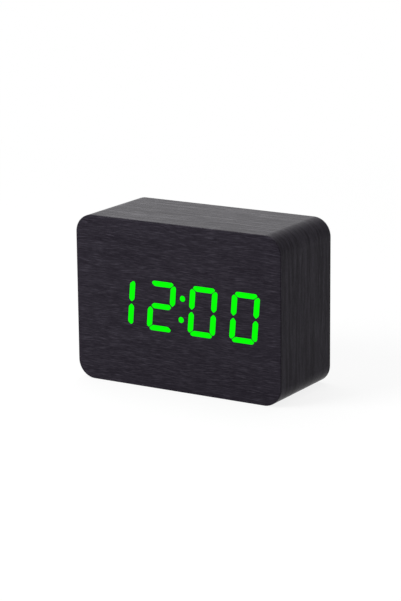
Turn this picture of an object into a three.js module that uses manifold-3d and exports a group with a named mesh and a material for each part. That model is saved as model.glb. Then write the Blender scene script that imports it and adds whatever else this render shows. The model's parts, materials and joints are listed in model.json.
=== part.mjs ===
// Digital alarm clock: a veneered wooden block hollowed from the rear, a seven-segment display
// behind its front veneer, and a plastic rear cover with three keys, a power socket and a
// battery well for three cells.
// Millimetres. X runs to the right seen from the front, Y to the rear and Z up.
// The origin is the middle of the underside.

import * as THREE from "three";
import { mergeVertices } from "three/addons/utils/BufferGeometryUtils.js";
import Module from "manifold-3d";

const wasm = await Module();
wasm.setup();

// Case
const CASE_WIDTH = 100;
const CASE_HEIGHT = 72;
const CASE_DEPTH = 43;
const CASE_CORNER = 8; // corner radius seen from the front
const VENEER = 0.6;
const SEAM_GAP = 0.3; // between the wrapped veneer and the base veneer, on the underside
const SEAM_INSET = 2; // from the start of the case's rounded corners to the seams
const GLUE = 0.05; // layer between parts that are glued, soldered or screwed face to face
const FRONT_BOARD = 3; // wood behind the front veneer
const RIM = 4; // wood and veneer around the rear cover
const LEDGE = 2; // step in the wood that the rear cover rests on
const POST = 8; // square of wood left in each corner of the hollow
const CUTTER = 2.5; // radius that the milling cutter leaves
const PAST = 1; // how far a cutting tool runs past the faces it cuts
const OVERLAP = 0.5; // how far joined solids reach into each other

// Display
const TIME = "1200"; // shown by the four digits
const DISPLAY_LEFT = 13.05; // from the case's left side to the reflector
const DISPLAY_RIGHT = 7.65; // from the case's right side to the reflector
const DIGIT_HEIGHT = 22;
const DIGIT_GAP = 6.7; // between the feet of neighbouring digits
const DIGIT_SLANT = 4.7; // degrees
const SEGMENT_WIDTH = 2.9;
const SEGMENT_GAP = 0.7;
const COLON_DIAMETER = 3;
const COLON_SPACING = 9.2;
const REFLECTOR_DEPTH = 7;
const REFLECTOR_MARGIN = 1.3; // reflector outside the digits
const WINDOW_CLEARANCE = 0.3; // reflector to the window in the wood
const LENS_CLEARANCE = 0.1;
const WEB_THICKNESS = 0.9; // back of a lens, which joins its segments
const WEB_MARGIN = 0.5;
const DIE = 1; // side of an LED die
const DIE_HEIGHT = 0.4;
const DIE_CLEARANCE = 0.15;

// Boards
const BOARD_THICKNESS = 1.6;
const BOARD_CLEARANCE = 1; // board edges to the wood and to the battery well
const BOSS_RADIUS = 3; // wooden bosses that carry the display board
const BOSS_CLEARANCE = 0.5; // bosses to the reflector
const BOSS_EDGE = 1.2; // board outside the bosses
const CHIP_RADIUS = 5;
const CHIP_HEIGHT = 1.6;
const CRYSTAL_RADIUS = 1;
const CRYSTAL_LENGTH = 6;
const RIBBON_X = 14;
const RIBBON_WIDTH = 7.6;
const RIBBON_THICKNESS = 0.9;
const RIBBON_SAG = 4;
const CONNECTOR_WALL = 1.5;
const CONNECTOR_HEIGHT = 4.5;
const CONNECTOR_SLOT = 2.5;
const SLOT_CLEARANCE = 0.2;

// Rear cover and keys
const COVER_RECESS = 2; // cover behind the case's rear rim
const COVER_THICKNESS = 2.2;
const COVER_CLEARANCE = 0.3;
const KEY_BOARD_GAP = 7.8; // cover to key board
const KEY_POST_RADIUS = 2.4;
const KEY_POST_EDGE = 0.5; // key board outside the posts
const BUTTON_RADIUS = 3.5;
const BUTTON_PITCH = 10.5;
const BUTTON_PROUD = 1; // button outside the cover
const BUTTON_EDGE = 0.5; // chamfer
const BUTTON_CLEARANCE = 0.25;
const BUTTON_TRAVEL = 0.4;
const FLANGE_LAP = 0.7; // button flange outside the cover's hole
const FLANGE_THICKNESS = 1;
const STEM_RADIUS = 1.5;
const SWITCH_SIDE = 6;
const SWITCH_HEIGHT = 3.5;
const PLUNGER_RADIUS = 1.7;
const PLUNGER_PROUD = 1.5;
const PLUNGER_SUNK = 1;
const PLUNGER_CLEARANCE = 0.2;
const SOCKET_INSET = 10; // from the key board's right end to the middle of the socket
const SOCKET_WIDTH = 7.8;
const SOCKET_HEIGHT = 3;
const SOCKET_DEPTH = 6.5;
const SOCKET_WALL = 0.4;
const SOCKET_CORNER = 1;
const TONGUE_WIDTH = 4.4;
const TONGUE_THICKNESS = 0.7;
const TONGUE_LENGTH = 4.6;
const PLUG_MARGIN = 1.9; // opening in the cover around the socket, for the plug's grip
const SOUNDER_INSET = 11; // from the key board's left end to the middle of the sounder
const SOUNDER_RADIUS = 4.7;
const SOUNDER_HEIGHT = 5.5;
const SOUND_HOLE = 0.7; // radius of each hole in front of the sounder
const SOUND_RING = 2.6;
const SOUND_RING_HOLES = 6;
const MICROPHONE_RADIUS = 2;
const MICROPHONE_HEIGHT = 2;
const CAPACITOR_X = -14;
const CAPACITOR_RADIUS = 3;
const CAPACITOR_HEIGHT = 6.5;
const CAN_EDGE = 0.4; // chamfer of the capacitor and the microphone

// Screws
const COVER_SCREW = { shank: 1.25, length: 9, head: 2.4, headHeight: 1.1 };
const BOARD_SCREW = { shank: 1, length: 5.5, head: 2, headHeight: 1.3 };
const SCREW_CLEARANCE = 0.15;
const COVER_SCREW_INSET = 5.2; // from the cover's edges
const COUNTERBORE_CLEARANCE = 0.4;
const COUNTERBORE_DEPTH = 1.2;
const SCREW_EDGE = 0.5; // chamfer of the heads
const CROSS_WIDTH = 0.6;
const CROSS_DEPTH = 0.7;
const CROSS_MARGIN = 1; // head outside the cross

// Battery well and door
const CELL_DIAMETER = 10.3;
const CELL_LENGTH = 44.5;
const CELL_NUB_RADIUS = 1.9;
const CELL_NUB = 1;
const CELL_GAP = 0.6;
const CELL_CLEARANCE = 0.4;
const CELL_EDGE = 0.4; // chamfer
const WELL_WALL = 1.5;
const WELL_MARGIN = 1.5; // well to the wood below it
const CONTACT = 0.4;
const CONTACT_INSET = 1; // contact plates inside the cell's outline
const TAIL_WIDTH = 3;
const TAIL_LENGTH = 2; // solder tails outside the well
const SPRING_LENGTH = 6;
const SPRING_WIRE = 0.5;
const SPRING_TURNS = 3.5;
const SPRING_FOOT_RADIUS = 3.6;
const SPRING_TIP_RADIUS = 2.2;
const WIRE_RADIUS = 0.6;
const WIRE_GAP = 0.3;
const DOOR_THICKNESS = 1.8;
const DOOR_LAP = 1.2; // door outside the well's inner faces
const DOOR_GAP = 0.25;
const HOOK_X = 15;
const HOOK_WIDTH = 6;
const HOOK_DROP = 2.4;
const HOOK_THICKNESS = 1.2;
const HOOK_REACH = 1.5;
const LATCH_WIDTH = 8;
const LATCH_CATCH = 0.5;
const FINGER_RADIUS = 6;
const FINGER_DEPTH = 1.2;

// Levels and places that follow from the sizes above
const FRONT_Y = -CASE_DEPTH / 2;
const REAR_Y = CASE_DEPTH / 2;
const MIDDLE_Z = CASE_HEIGHT / 2;
const WOOD_FRONT_Y = FRONT_Y + VENEER + GLUE;
const HOLLOW_FRONT_Y = WOOD_FRONT_Y + FRONT_BOARD;
const COVER_REAR_Y = REAR_Y - COVER_RECESS;
const COVER_FRONT_Y = COVER_REAR_Y - COVER_THICKNESS;
const LEDGE_Y = COVER_FRONT_Y - GLUE;
const HOLLOW_WIDTH = CASE_WIDTH - 2 * (RIM + LEDGE);
const HOLLOW_HEIGHT = CASE_HEIGHT - 2 * (RIM + LEDGE);
const COVER_WIDTH = CASE_WIDTH - 2 * (RIM + COVER_CLEARANCE);
const COVER_HEIGHT = CASE_HEIGHT - 2 * (RIM + COVER_CLEARANCE);

const SLOPE = Math.tan(THREE.MathUtils.degToRad(DIGIT_SLANT));
const DIGIT_LEAN = DIGIT_HEIGHT * SLOPE;
const DISPLAY_WIDTH = CASE_WIDTH - DISPLAY_LEFT - DISPLAY_RIGHT;
const DISPLAY_HEIGHT = DIGIT_HEIGHT + 2 * REFLECTOR_MARGIN;
const DISPLAY_X = (DISPLAY_LEFT - DISPLAY_RIGHT) / 2;
const DIGIT_WIDTH = (DISPLAY_WIDTH - 2 * REFLECTOR_MARGIN - DIGIT_LEAN - 3 * DIGIT_GAP) / 4;
const DIGIT_PITCH = DIGIT_WIDTH + DIGIT_GAP;
const DIGIT_XS = [-1.5, -0.5, 0.5, 1.5].map((step) => DISPLAY_X + step * DIGIT_PITCH);
const REFLECTOR_REAR_Y = WOOD_FRONT_Y + REFLECTOR_DEPTH;
const DISPLAY_BOARD_Y = REFLECTOR_REAR_Y + GLUE;
const DISPLAY_BOARD_REAR_Y = DISPLAY_BOARD_Y + BOARD_THICKNESS;
const BOSS_Z = DISPLAY_HEIGHT / 2 + BOSS_CLEARANCE + BOSS_RADIUS;
const BOSS_X = HOLLOW_WIDTH / 2 - BOARD_CLEARANCE - BOSS_EDGE - BOSS_RADIUS;
const DISPLAY_BOARD_HEIGHT = 2 * (BOSS_Z + BOSS_RADIUS + BOSS_EDGE);

const CELL_Y = COVER_REAR_Y - DOOR_THICKNESS - CELL_CLEARANCE - CELL_DIAMETER / 2;
const CELL_PITCH = CELL_DIAMETER + CELL_GAP;
const WELL_FLOOR_Y = CELL_Y - CELL_DIAMETER / 2 - CELL_CLEARANCE;
const WELL_LENGTH = CELL_LENGTH + SPRING_LENGTH + 2 * CONTACT + 5 * GLUE;
const WELL_HEIGHT = 2 * CELL_PITCH + CELL_DIAMETER + 2 * CELL_CLEARANCE;
const WELL_BOTTOM_Z = RIM + LEDGE + WELL_MARGIN + WELL_WALL;
const WELL_TOP_Z = WELL_BOTTOM_Z + WELL_HEIGHT;
const CONTACT_X = WELL_LENGTH / 2 - GLUE - CONTACT; // inner face of the contact plates
const CONTACT_DEPTH = CELL_DIAMETER - 2 * CONTACT_INSET;
const LOW_CELL_Z = WELL_BOTTOM_Z + CELL_CLEARANCE + CELL_DIAMETER / 2;
const CELL_ZS = [2, 1, 0].map((row) => LOW_CELL_Z + row * CELL_PITCH);
const TAIL_Y = CELL_Y - CONTACT_DEPTH / 2 + CONTACT / 2;
const TAIL_X = WELL_LENGTH / 2 + WELL_WALL + TAIL_LENGTH;
const DOOR_Y = COVER_REAR_Y - DOOR_THICKNESS;
const DOOR_HALF_WIDTH = WELL_LENGTH / 2 + DOOR_LAP;
const HINGE_Z = WELL_BOTTOM_Z - DOOR_LAP;
const DOOR_TOP_Z = WELL_TOP_Z + DOOR_LAP;

const KEY_REAR_Y = COVER_FRONT_Y - KEY_BOARD_GAP;
const KEY_FRONT_Y = KEY_REAR_Y - BOARD_THICKNESS;
const KEY_BOTTOM_Z = WELL_TOP_Z + WELL_WALL + BOARD_CLEARANCE;
const KEY_TOP_Z = CASE_HEIGHT - RIM - LEDGE - BOARD_CLEARANCE;
const KEY_Z = (KEY_BOTTOM_Z + KEY_TOP_Z) / 2;
const KEY_HALF_WIDTH = HOLLOW_WIDTH / 2 - POST - BOARD_CLEARANCE;
const KEY_POST_X = KEY_HALF_WIDTH - KEY_POST_EDGE - KEY_POST_RADIUS;
const KEY_POST_Z = (KEY_TOP_Z - KEY_BOTTOM_Z) / 2 - KEY_POST_EDGE - KEY_POST_RADIUS;
const SOCKET_X = KEY_HALF_WIDTH - SOCKET_INSET;
const SOUNDER_X = SOUNDER_INSET - KEY_HALF_WIDTH;
const MICROPHONE_X = SOUNDER_X + SOUNDER_RADIUS + MICROPHONE_RADIUS + BOARD_CLEARANCE;
const MICROPHONE_Z = KEY_BOTTOM_Z + MICROPHONE_RADIUS + BOARD_CLEARANCE;
const BUTTONS = { set: BUTTON_PITCH, up: 0, down: -BUTTON_PITCH };

// Fineness of round shapes
const CASE_STEPS = 4;
const ARC_STEPS = 2;
const ROUND_SIDES = 16;
const SCREW_SIDES = 10;
const HOLE_SIDES = 8;
const WIRE_SIDES = 8;
const SPRING_SIDES = 5;
const DOT_SIDES = 12;
const DOME_STEPS = 4;
const RIBBON_STEPS = 24;

const FINISHES = {
  veneer: { color: 0x2d2a31, roughness: 0.55 },
  frontVeneer: { color: 0x2d2a31, roughness: 0.55, transparent: true, opacity: 0.4 },
  fibreboard: { color: 0x2b2622, roughness: 0.9 },
  whitePlastic: { color: 0xd8d8d2, roughness: 0.6 },
  blackPlastic: { color: 0x19191b, roughness: 0.5 },
  keyPlastic: { color: 0x242427, roughness: 0.45 },
  lens: { vertexColors: true, roughness: 0.4 },
  board: { color: 0x17502c, roughness: 0.5 },
  blackEpoxy: { color: 0x0d0d0e, roughness: 0.3 },
  steel: { color: 0xa8abad, roughness: 0.35, metalness: 1 },
  nickel: { color: 0xc9c7c0, roughness: 0.25, metalness: 1 },
  cellJacket: { color: 0x3a5a78, roughness: 0.35 },
  ribbon: { color: 0x9a9aa0, roughness: 0.6 },
  redWire: { color: 0xb01818, roughness: 0.5 },
  blackWire: { color: 0x141414, roughness: 0.5 },
};

// Solids

function solid(geometry) {
  const bare = geometry.index ? geometry.toNonIndexed() : geometry.clone();
  bare.deleteAttribute("normal");
  bare.deleteAttribute("uv");
  const merged = mergeVertices(bare);
  return new wasm.Manifold(new wasm.Mesh({
    numProp: 3,
    vertProperties: merged.attributes.position.array,
    triVerts: new Uint32Array(merged.index.array),
  }));
}

function joined(solids) {
  return solids.reduce((whole, next) => whole.add(next));
}

function cut(base, tools) {
  return base.subtract(joined(tools));
}

// A shape drawn in X and Z, given thickness along Y
function slab(shape, frontY, rearY, curveSegments = ARC_STEPS) {
  const geometry = new THREE.ExtrudeGeometry(shape, {
    depth: rearY - frontY,
    bevelEnabled: false,
    curveSegments,
  });
  geometry.rotateX(Math.PI / 2);
  geometry.translate(0, rearY, 0);
  return solid(geometry);
}

function box([x0, x1], [y0, y1], [z0, z1]) {
  const geometry = new THREE.BoxGeometry(x1 - x0, y1 - y0, z1 - z0);
  geometry.translate((x0 + x1) / 2, (y0 + y1) / 2, (z0 + z1) / 2);
  return solid(geometry);
}

// A straight round bar along Y
function rod(radius, [y0, y1], x = 0, z = 0, sides = ROUND_SIDES) {
  const geometry = new THREE.CylinderGeometry(radius, radius, y1 - y0, sides);
  geometry.translate(x, (y0 + y1) / 2, z);
  return solid(geometry);
}

// A turned shape about Y from [radius, y] points, in order of rising y
function turned(profile, sides = ROUND_SIDES) {
  const points = profile.map(([radius, y]) => new THREE.Vector2(radius, y));
  return new THREE.LatheGeometry(points, sides);
}

function span(middle, size) {
  return [middle - size / 2, middle + size / 2];
}

function piece(name, body, finish, [x, y, z] = [0, 0, 0]) {
  const made = body.getMesh();
  const geometry = new THREE.BufferGeometry();
  geometry.setAttribute("position", new THREE.BufferAttribute(made.vertProperties, 3));
  geometry.setIndex(new THREE.BufferAttribute(made.triVerts, 1));
  geometry.computeVertexNormals();
  const mesh = new THREE.Mesh(geometry, new THREE.MeshStandardMaterial(FINISHES[finish]));
  mesh.name = name;
  mesh.position.set(x, y, z);
  return mesh;
}

// Outlines

function roundedRectangle(width, height, radius, x = 0, z = 0) {
  const right = width / 2 - radius;
  const top = height / 2 - radius;
  const shape = new THREE.Shape();
  shape.absarc(x + right, z + top, radius, 0, Math.PI / 2);
  shape.absarc(x - right, z + top, radius, Math.PI / 2, Math.PI);
  shape.absarc(x - right, z - top, radius, Math.PI, Math.PI * 1.5);
  shape.absarc(x + right, z - top, radius, Math.PI * 1.5, Math.PI * 2);
  return shape;
}

// The case's outline, moved in and given thickness
function caseSlab(inset, frontY, rearY) {
  const outline = roundedRectangle(
    CASE_WIDTH - 2 * inset, CASE_HEIGHT - 2 * inset, CASE_CORNER - inset, 0, MIDDLE_Z,
  );
  return slab(outline, frontY, rearY, CASE_STEPS);
}

// The milled hollow: a wide and a tall opening that leave a post in each corner
function hollow(inset, frontY, rearY) {
  const width = HOLLOW_WIDTH - 2 * inset;
  const height = HOLLOW_HEIGHT - 2 * inset;
  return joined([
    slab(roundedRectangle(width, height - 2 * POST, CUTTER, 0, MIDDLE_Z), frontY, rearY),
    slab(roundedRectangle(width - 2 * POST, height, CUTTER, 0, MIDDLE_Z), frontY, rearY),
  ]);
}

// Positions in the four corners of a rectangle about the middle of the case
function corners(x, z, middleZ = MIDDLE_Z) {
  return [[-x, middleZ + z], [x, middleZ + z], [-x, middleZ - z], [x, middleZ - z]];
}

const BOSSES = corners(BOSS_X, BOSS_Z);
const COVER_SCREWS = corners(COVER_WIDTH / 2 - COVER_SCREW_INSET, COVER_HEIGHT / 2 - COVER_SCREW_INSET);
const KEY_POSTS = corners(KEY_POST_X, KEY_POST_Z, KEY_Z);

// Screws, with the underside of the head at the origin and the tip towards the front

function screw({ shank, length, head, headHeight }) {
  const body = solid(turned([
    [0, -length],
    [shank, shank - length],
    [shank, 0],
    [head, 0],
    [head, headHeight - SCREW_EDGE],
    [head - SCREW_EDGE, headHeight],
    [0, headHeight],
  ], SCREW_SIDES));
  const cross = span(0, 2 * (head - CROSS_MARGIN));
  const slot = span(0, CROSS_WIDTH);
  const depth = [headHeight - CROSS_DEPTH, headHeight + PAST];
  return cut(body, [box(cross, depth, slot), box(slot, depth, cross)]);
}

function pilotHole({ shank, length }, headY, x, z) {
  const radius = shank + SCREW_CLEARANCE;
  return rod(radius, [headY - length - SCREW_CLEARANCE, headY + PAST], x, z, SCREW_SIDES);
}

// Case

function caseBody() {
  const block = caseSlab(VENEER + GLUE, WOOD_FRONT_Y, REAR_Y);
  const rebate = roundedRectangle(
    CASE_WIDTH - 2 * RIM, CASE_HEIGHT - 2 * RIM, CASE_CORNER - RIM, 0, MIDDLE_Z,
  );
  const bossTop = DISPLAY_BOARD_Y - GLUE;
  const bosses = BOSSES.map(([x, z]) => rod(BOSS_RADIUS, [HOLLOW_FRONT_Y - OVERLAP, bossTop], x, z));
  const window = box(
    span(DISPLAY_X, DISPLAY_WIDTH + 2 * WINDOW_CLEARANCE),
    [FRONT_Y, REFLECTOR_REAR_Y],
    span(MIDDLE_Z, DISPLAY_HEIGHT + 2 * WINDOW_CLEARANCE),
  );
  const shell = cut(block, [
    slab(rebate, LEDGE_Y, REAR_Y + PAST),
    hollow(0, HOLLOW_FRONT_Y, LEDGE_Y + PAST),
  ]);
  return cut(joined([shell, ...bosses]), [
    window,
    ...BOSSES.map(([x, z]) => pilotHole(BOARD_SCREW, DISPLAY_BOARD_REAR_Y, x, z)),
    ...COVER_SCREWS.map(([x, z]) => pilotHole(COVER_SCREW, COVER_REAR_Y - COUNTERBORE_DEPTH, x, z)),
  ]);
}

const SEAM_X = CASE_WIDTH / 2 - CASE_CORNER - SEAM_INSET;

// The strip over the top, the sides and the rounded corners
function wrapVeneer() {
  const beyond = [WOOD_FRONT_Y - PAST, REAR_Y + PAST];
  return cut(caseSlab(0, WOOD_FRONT_Y, REAR_Y), [
    caseSlab(VENEER, ...beyond),
    box([-SEAM_X, SEAM_X], beyond, [-PAST, VENEER + PAST]),
  ]);
}

function baseVeneer() {
  const edge = SEAM_X - SEAM_GAP;
  return box([-edge, edge], [WOOD_FRONT_Y, REAR_Y], [0, VENEER]);
}

function casePieces() {
  return [
    piece("case_body", caseBody(), "fibreboard"),
    piece("front_veneer", caseSlab(0, FRONT_Y, FRONT_Y + VENEER), "frontVeneer"),
    piece("wrap_veneer", wrapVeneer(), "veneer"),
    piece("base_veneer", baseVeneer(), "veneer"),
  ];
}

// Display. Segments are drawn upright about the middle of their digit, then leaned over.

const SEGMENT_NAMES = "abcdefg"; // clockwise from the top one, then the middle one
const LIT_SEGMENTS = [
  "abcdef", "bc", "abdeg", "abcdg", "bcfg", "acdfg", "acdefg", "abc", "abcdefg", "abcdfg",
];
const LIT_COLOUR = new THREE.Color(0x00ff00);
const UNLIT_COLOUR = new THREE.Color(0x151517);

function mirrored(points, signX, signZ) {
  const flipped = points.map(([x, z]) => [x * signX, z * signZ]);
  return signX * signZ < 0 ? flipped.reverse() : flipped;
}

function segmentOutlines() {
  const right = DIGIT_WIDTH / 2;
  const top = DIGIT_HEIGHT / 2;
  const width = SEGMENT_WIDTH;
  const gap = SEGMENT_GAP / 2;
  const upper = [
    [gap - right, top],
    [right - gap, top],
    [right - width - gap, top - width],
    [width + gap - right, top - width],
  ];
  const side = [
    [right, top - gap],
    [right, width / 2 + gap],
    [right - width / 2, gap],
    [right - width, width / 2 + gap],
    [right - width, top - width - gap],
  ];
  const middle = [
    [width / 2 + gap - right, 0],
    [width + gap - right, width / 2],
    [right - width - gap, width / 2],
    [right - width / 2 - gap, 0],
    [right - width - gap, -width / 2],
    [width + gap - right, -width / 2],
  ];
  return [
    upper,
    side,
    mirrored(side, 1, -1),
    mirrored(upper, 1, -1),
    mirrored(side, -1, -1),
    mirrored(side, -1, 1),
    middle,
  ];
}

function dotOutline(sign) {
  const points = new THREE.EllipseCurve(
    0, sign * COLON_SPACING / 2, COLON_DIAMETER / 2, COLON_DIAMETER / 2, 0, 2 * Math.PI, true,
  ).getPoints(DOT_SIDES);
  return points.slice(1).map(({ x, y }) => [x, y]);
}

function rectangle(width, height) {
  const right = width / 2;
  const top = height / 2;
  return [[-right, top], [right, top], [right, -top], [-right, -top]];
}

// The outline with each edge moved out. Its points run clockwise.
function grown(points, distance) {
  const outward = points.map((point, i) => {
    const next = points[(i + 1) % points.length];
    return new THREE.Vector2(point[1] - next[1], next[0] - point[0]).normalize();
  });
  return points.map(([x, z], i) => {
    const before = outward.at(i - 1);
    const move = before.clone().add(outward[i]).multiplyScalar(distance / (1 + before.dot(outward[i])));
    return [x + move.x, z + move.y];
  });
}

function leaning(points, middleX = 0, middleZ = 0) {
  return new THREE.Shape(points.map(([x, z]) => new THREE.Vector2(middleX + x + z * SLOPE, middleZ + z)));
}

function middleOf(points) {
  const zs = points.map((point) => point[1]);
  const xs = points.map((point) => point[0]);
  const z = (Math.min(...zs) + Math.max(...zs)) / 2;
  return [(Math.min(...xs) + Math.max(...xs)) / 2 + z * SLOPE, z];
}

// Each lit group: its lit outlines and the outline of the web that joins them
const DIGIT = {
  marks: segmentOutlines(),
  web: rectangle(DIGIT_WIDTH + 2 * WEB_MARGIN, DIGIT_HEIGHT + 2 * WEB_MARGIN),
};
const COLON = {
  marks: [dotOutline(1), dotOutline(-1)],
  web: rectangle(COLON_DIAMETER + 2 * WEB_MARGIN, COLON_SPACING + COLON_DIAMETER + 2 * WEB_MARGIN),
};
const GROUPS = [...DIGIT_XS.map((x) => [DIGIT, x]), [COLON, DISPLAY_X]];

// A block in the place of each LED die in front of the board
function dice({ marks }, clearance, boardY, middleX = 0, middleZ = 0) {
  const side = DIE + 2 * clearance;
  return marks.map((mark) => {
    const [x, z] = middleOf(mark);
    const depth = [boardY - DIE_HEIGHT - clearance, boardY + OVERLAP];
    return box(span(middleX + x, side), depth, span(middleZ + z, side));
  });
}

// Lens with its front at y = 0 and its back on the display board
function lens(group) {
  const webY = REFLECTOR_DEPTH - WEB_THICKNESS;
  const body = joined([
    slab(leaning(group.web), webY, REFLECTOR_DEPTH),
    ...group.marks.map((mark) => slab(leaning(mark), 0, webY + WEB_THICKNESS / 2)),
  ]);
  return cut(body, dice(group, DIE_CLEARANCE, REFLECTOR_DEPTH));
}

// The lens as a mesh, with the points of its lit outlines coloured
function lensPiece(name, group, x, isLit = () => true) {
  const made = piece(name, lens(group), "lens", [x, WOOD_FRONT_Y, MIDDLE_Z]);
  const litPoints = group.marks.filter((mark, i) => isLit(i)).flatMap((mark) => leaning(mark).getPoints());
  const { position } = made.geometry.attributes;
  const colours = Array.from({ length: position.count }, (unused, i) => {
    const at = new THREE.Vector2(position.getX(i), position.getZ(i));
    const lit = litPoints.some((point) => point.distanceTo(at) < LENS_CLEARANCE);
    return (lit ? LIT_COLOUR : UNLIT_COLOUR).toArray();
  });
  made.geometry.setAttribute("color", new THREE.Float32BufferAttribute(colours.flat(), 3));
  return made;
}

function digitPiece(x, place) {
  const lit = LIT_SEGMENTS[Number(TIME[place])];
  return lensPiece(`digit_${place + 1}_lens`, DIGIT, x, (i) => lit.includes(SEGMENT_NAMES[i]));
}

function reflector() {
  const block = box(
    span(DISPLAY_X, DISPLAY_WIDTH), [WOOD_FRONT_Y, REFLECTOR_REAR_Y], span(MIDDLE_Z, DISPLAY_HEIGHT),
  );
  const pocketY = REFLECTOR_REAR_Y - WEB_THICKNESS - LENS_CLEARANCE;
  const roomFor = (outline, x) => leaning(grown(outline, LENS_CLEARANCE), x, MIDDLE_Z);
  return cut(block, GROUPS.flatMap(([{ marks, web }, x]) => [
    slab(roomFor(web, x), pocketY, REFLECTOR_REAR_Y + PAST),
    ...marks.map((mark) => slab(roomFor(mark, x), WOOD_FRONT_Y - PAST, pocketY + OVERLAP)),
  ]));
}

function displayBoard() {
  const reach = span(0, CASE_WIDTH);
  const blank = hollow(BOARD_CLEARANCE, DISPLAY_BOARD_Y, DISPLAY_BOARD_REAR_Y)
    .intersect(box(reach, [FRONT_Y, REAR_Y], span(MIDDLE_Z, DISPLAY_BOARD_HEIGHT)));
  const lamps = GROUPS.flatMap(([group, x]) => dice(group, 0, DISPLAY_BOARD_Y, x, MIDDLE_Z));
  return cut(joined([blank, ...lamps]), BOSSES.map(([x, z]) => (
    pilotHole(BOARD_SCREW, DISPLAY_BOARD_REAR_Y, x, z)
  )));
}

// A drop of resin over the chip, a quarter of an ellipse turned round
function clockChip() {
  const dome = new THREE.EllipseCurve(0, 0, CHIP_RADIUS, CHIP_HEIGHT, 0, Math.PI / 2).getPoints(DOME_STEPS);
  const points = dome.slice(0, -1).map(({ x, y }) => [x, y]);
  return solid(turned([[0, 0], ...points, [0, CHIP_HEIGHT]]));
}

function crystal() {
  const can = turned([
    [0, -CRYSTAL_LENGTH / 2],
    [CRYSTAL_RADIUS, -CRYSTAL_LENGTH / 2],
    [CRYSTAL_RADIUS, CRYSTAL_LENGTH / 2],
    [0, CRYSTAL_LENGTH / 2],
  ], SCREW_SIDES);
  can.rotateZ(-Math.PI / 2);
  return solid(can);
}

// Connector with its mouth towards the rear and its foot at y = 0
function connector() {
  const width = RIBBON_WIDTH + 2 * CONNECTOR_WALL;
  const height = RIBBON_THICKNESS + 2 * CONNECTOR_WALL;
  const slot = box(
    span(0, RIBBON_WIDTH + 2 * SLOT_CLEARANCE),
    [CONNECTOR_HEIGHT - CONNECTOR_SLOT, CONNECTOR_HEIGHT + PAST],
    span(0, RIBBON_THICKNESS + 2 * SLOT_CLEARANCE),
  );
  return cut(box(span(0, width), [0, CONNECTOR_HEIGHT], span(0, height)), [slot]);
}

const DISPLAY_PLUG_Z = MIDDLE_Z + BOSS_Z;
const DISPLAY_PLUG_Y = DISPLAY_BOARD_REAR_Y + GLUE;
const KEY_PLUG_Y = KEY_FRONT_Y - GLUE;

function ribbon() {
  const sunk = CONNECTOR_HEIGHT - CONNECTOR_SLOT + SLOT_CLEARANCE;
  const startY = DISPLAY_PLUG_Y + sunk;
  const endY = KEY_PLUG_Y - sunk;
  const straight = CONNECTOR_SLOT;
  const lowZ = (DISPLAY_PLUG_Z + KEY_Z) / 2 - RIBBON_SAG;
  const leadY = startY + straight;
  const tailY = endY - straight;
  const lowY = (startY + endY) / 2;
  const ease = (lowY - leadY) / 2;
  const path = new THREE.Path();
  path.moveTo(startY, DISPLAY_PLUG_Z);
  path.lineTo(leadY, DISPLAY_PLUG_Z);
  path.bezierCurveTo(leadY + ease, DISPLAY_PLUG_Z, lowY - ease, lowZ, lowY, lowZ);
  path.bezierCurveTo(lowY + ease, lowZ, tailY - ease, KEY_Z, tailY, KEY_Z);
  path.lineTo(endY, KEY_Z);
  const stations = Array.from({ length: RIBBON_STEPS + 1 }, (unused, i) => i / RIBBON_STEPS);
  const edge = (sign) => stations.map((at) => {
    const { x, y } = path.getTangent(at);
    const out = new THREE.Vector2(-y, x).multiplyScalar(sign * RIBBON_THICKNESS / 2);
    return path.getPoint(at).add(out);
  });
  const side = new THREE.Shape([...edge(-1), ...edge(1).reverse()]);
  const geometry = new THREE.ExtrudeGeometry(side, { depth: RIBBON_WIDTH, bevelEnabled: false });
  const [x, y, z] = [[1, 0, 0], [0, 1, 0], [0, 0, 1]].map((axis) => new THREE.Vector3(...axis));
  geometry.applyMatrix4(new THREE.Matrix4().makeBasis(y, z, x));
  geometry.translate(RIBBON_X - RIBBON_WIDTH / 2, 0, 0);
  return solid(geometry);
}

function displayPieces() {
  return [
    piece("display_reflector", reflector(), "blackPlastic"),
    ...DIGIT_XS.map(digitPiece),
    lensPiece("colon_lens", COLON, DISPLAY_X),
    piece("display_board", displayBoard(), "board"),
    ...BOSSES.map(([x, z], i) => piece(
      `display_screw_${i + 1}`, screw(BOARD_SCREW), "steel", [x, DISPLAY_BOARD_REAR_Y + GLUE, z],
    )),
    piece("clock_chip", clockChip(), "blackEpoxy", [-RIBBON_X, DISPLAY_BOARD_REAR_Y + GLUE, MIDDLE_Z]),
    piece("quartz_crystal", crystal(), "nickel", [
      CRYSTAL_LENGTH, DISPLAY_BOARD_REAR_Y + CRYSTAL_RADIUS + GLUE, MIDDLE_Z,
    ]),
    piece("display_connector", connector(), "whitePlastic", [RIBBON_X, DISPLAY_PLUG_Y, DISPLAY_PLUG_Z]),
    piece("ribbon_cable", ribbon(), "ribbon"),
  ];
}

// Key board and what stands on it

const PLUNGER_END = SWITCH_HEIGHT + PLUNGER_PROUD; // above the key board

function keyBoard() {
  const width = 2 * KEY_HALF_WIDTH;
  const blank = roundedRectangle(width, KEY_TOP_Z - KEY_BOTTOM_Z, BOARD_CLEARANCE, 0, KEY_Z);
  return cut(slab(blank, KEY_FRONT_Y, KEY_REAR_Y), KEY_POSTS.map(([x, z]) => (
    rod(BOARD_SCREW.shank + SCREW_CLEARANCE, [KEY_FRONT_Y - PAST, KEY_REAR_Y + PAST], x, z, SCREW_SIDES)
  )));
}

function switchBody() {
  const floor = SWITCH_HEIGHT - PLUNGER_SUNK - BUTTON_TRAVEL - PLUNGER_CLEARANCE;
  const side = span(0, SWITCH_SIDE);
  return cut(box(side, [0, SWITCH_HEIGHT], side), [
    rod(PLUNGER_RADIUS + PLUNGER_CLEARANCE, [floor, SWITCH_HEIGHT + PAST]),
  ]);
}

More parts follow.
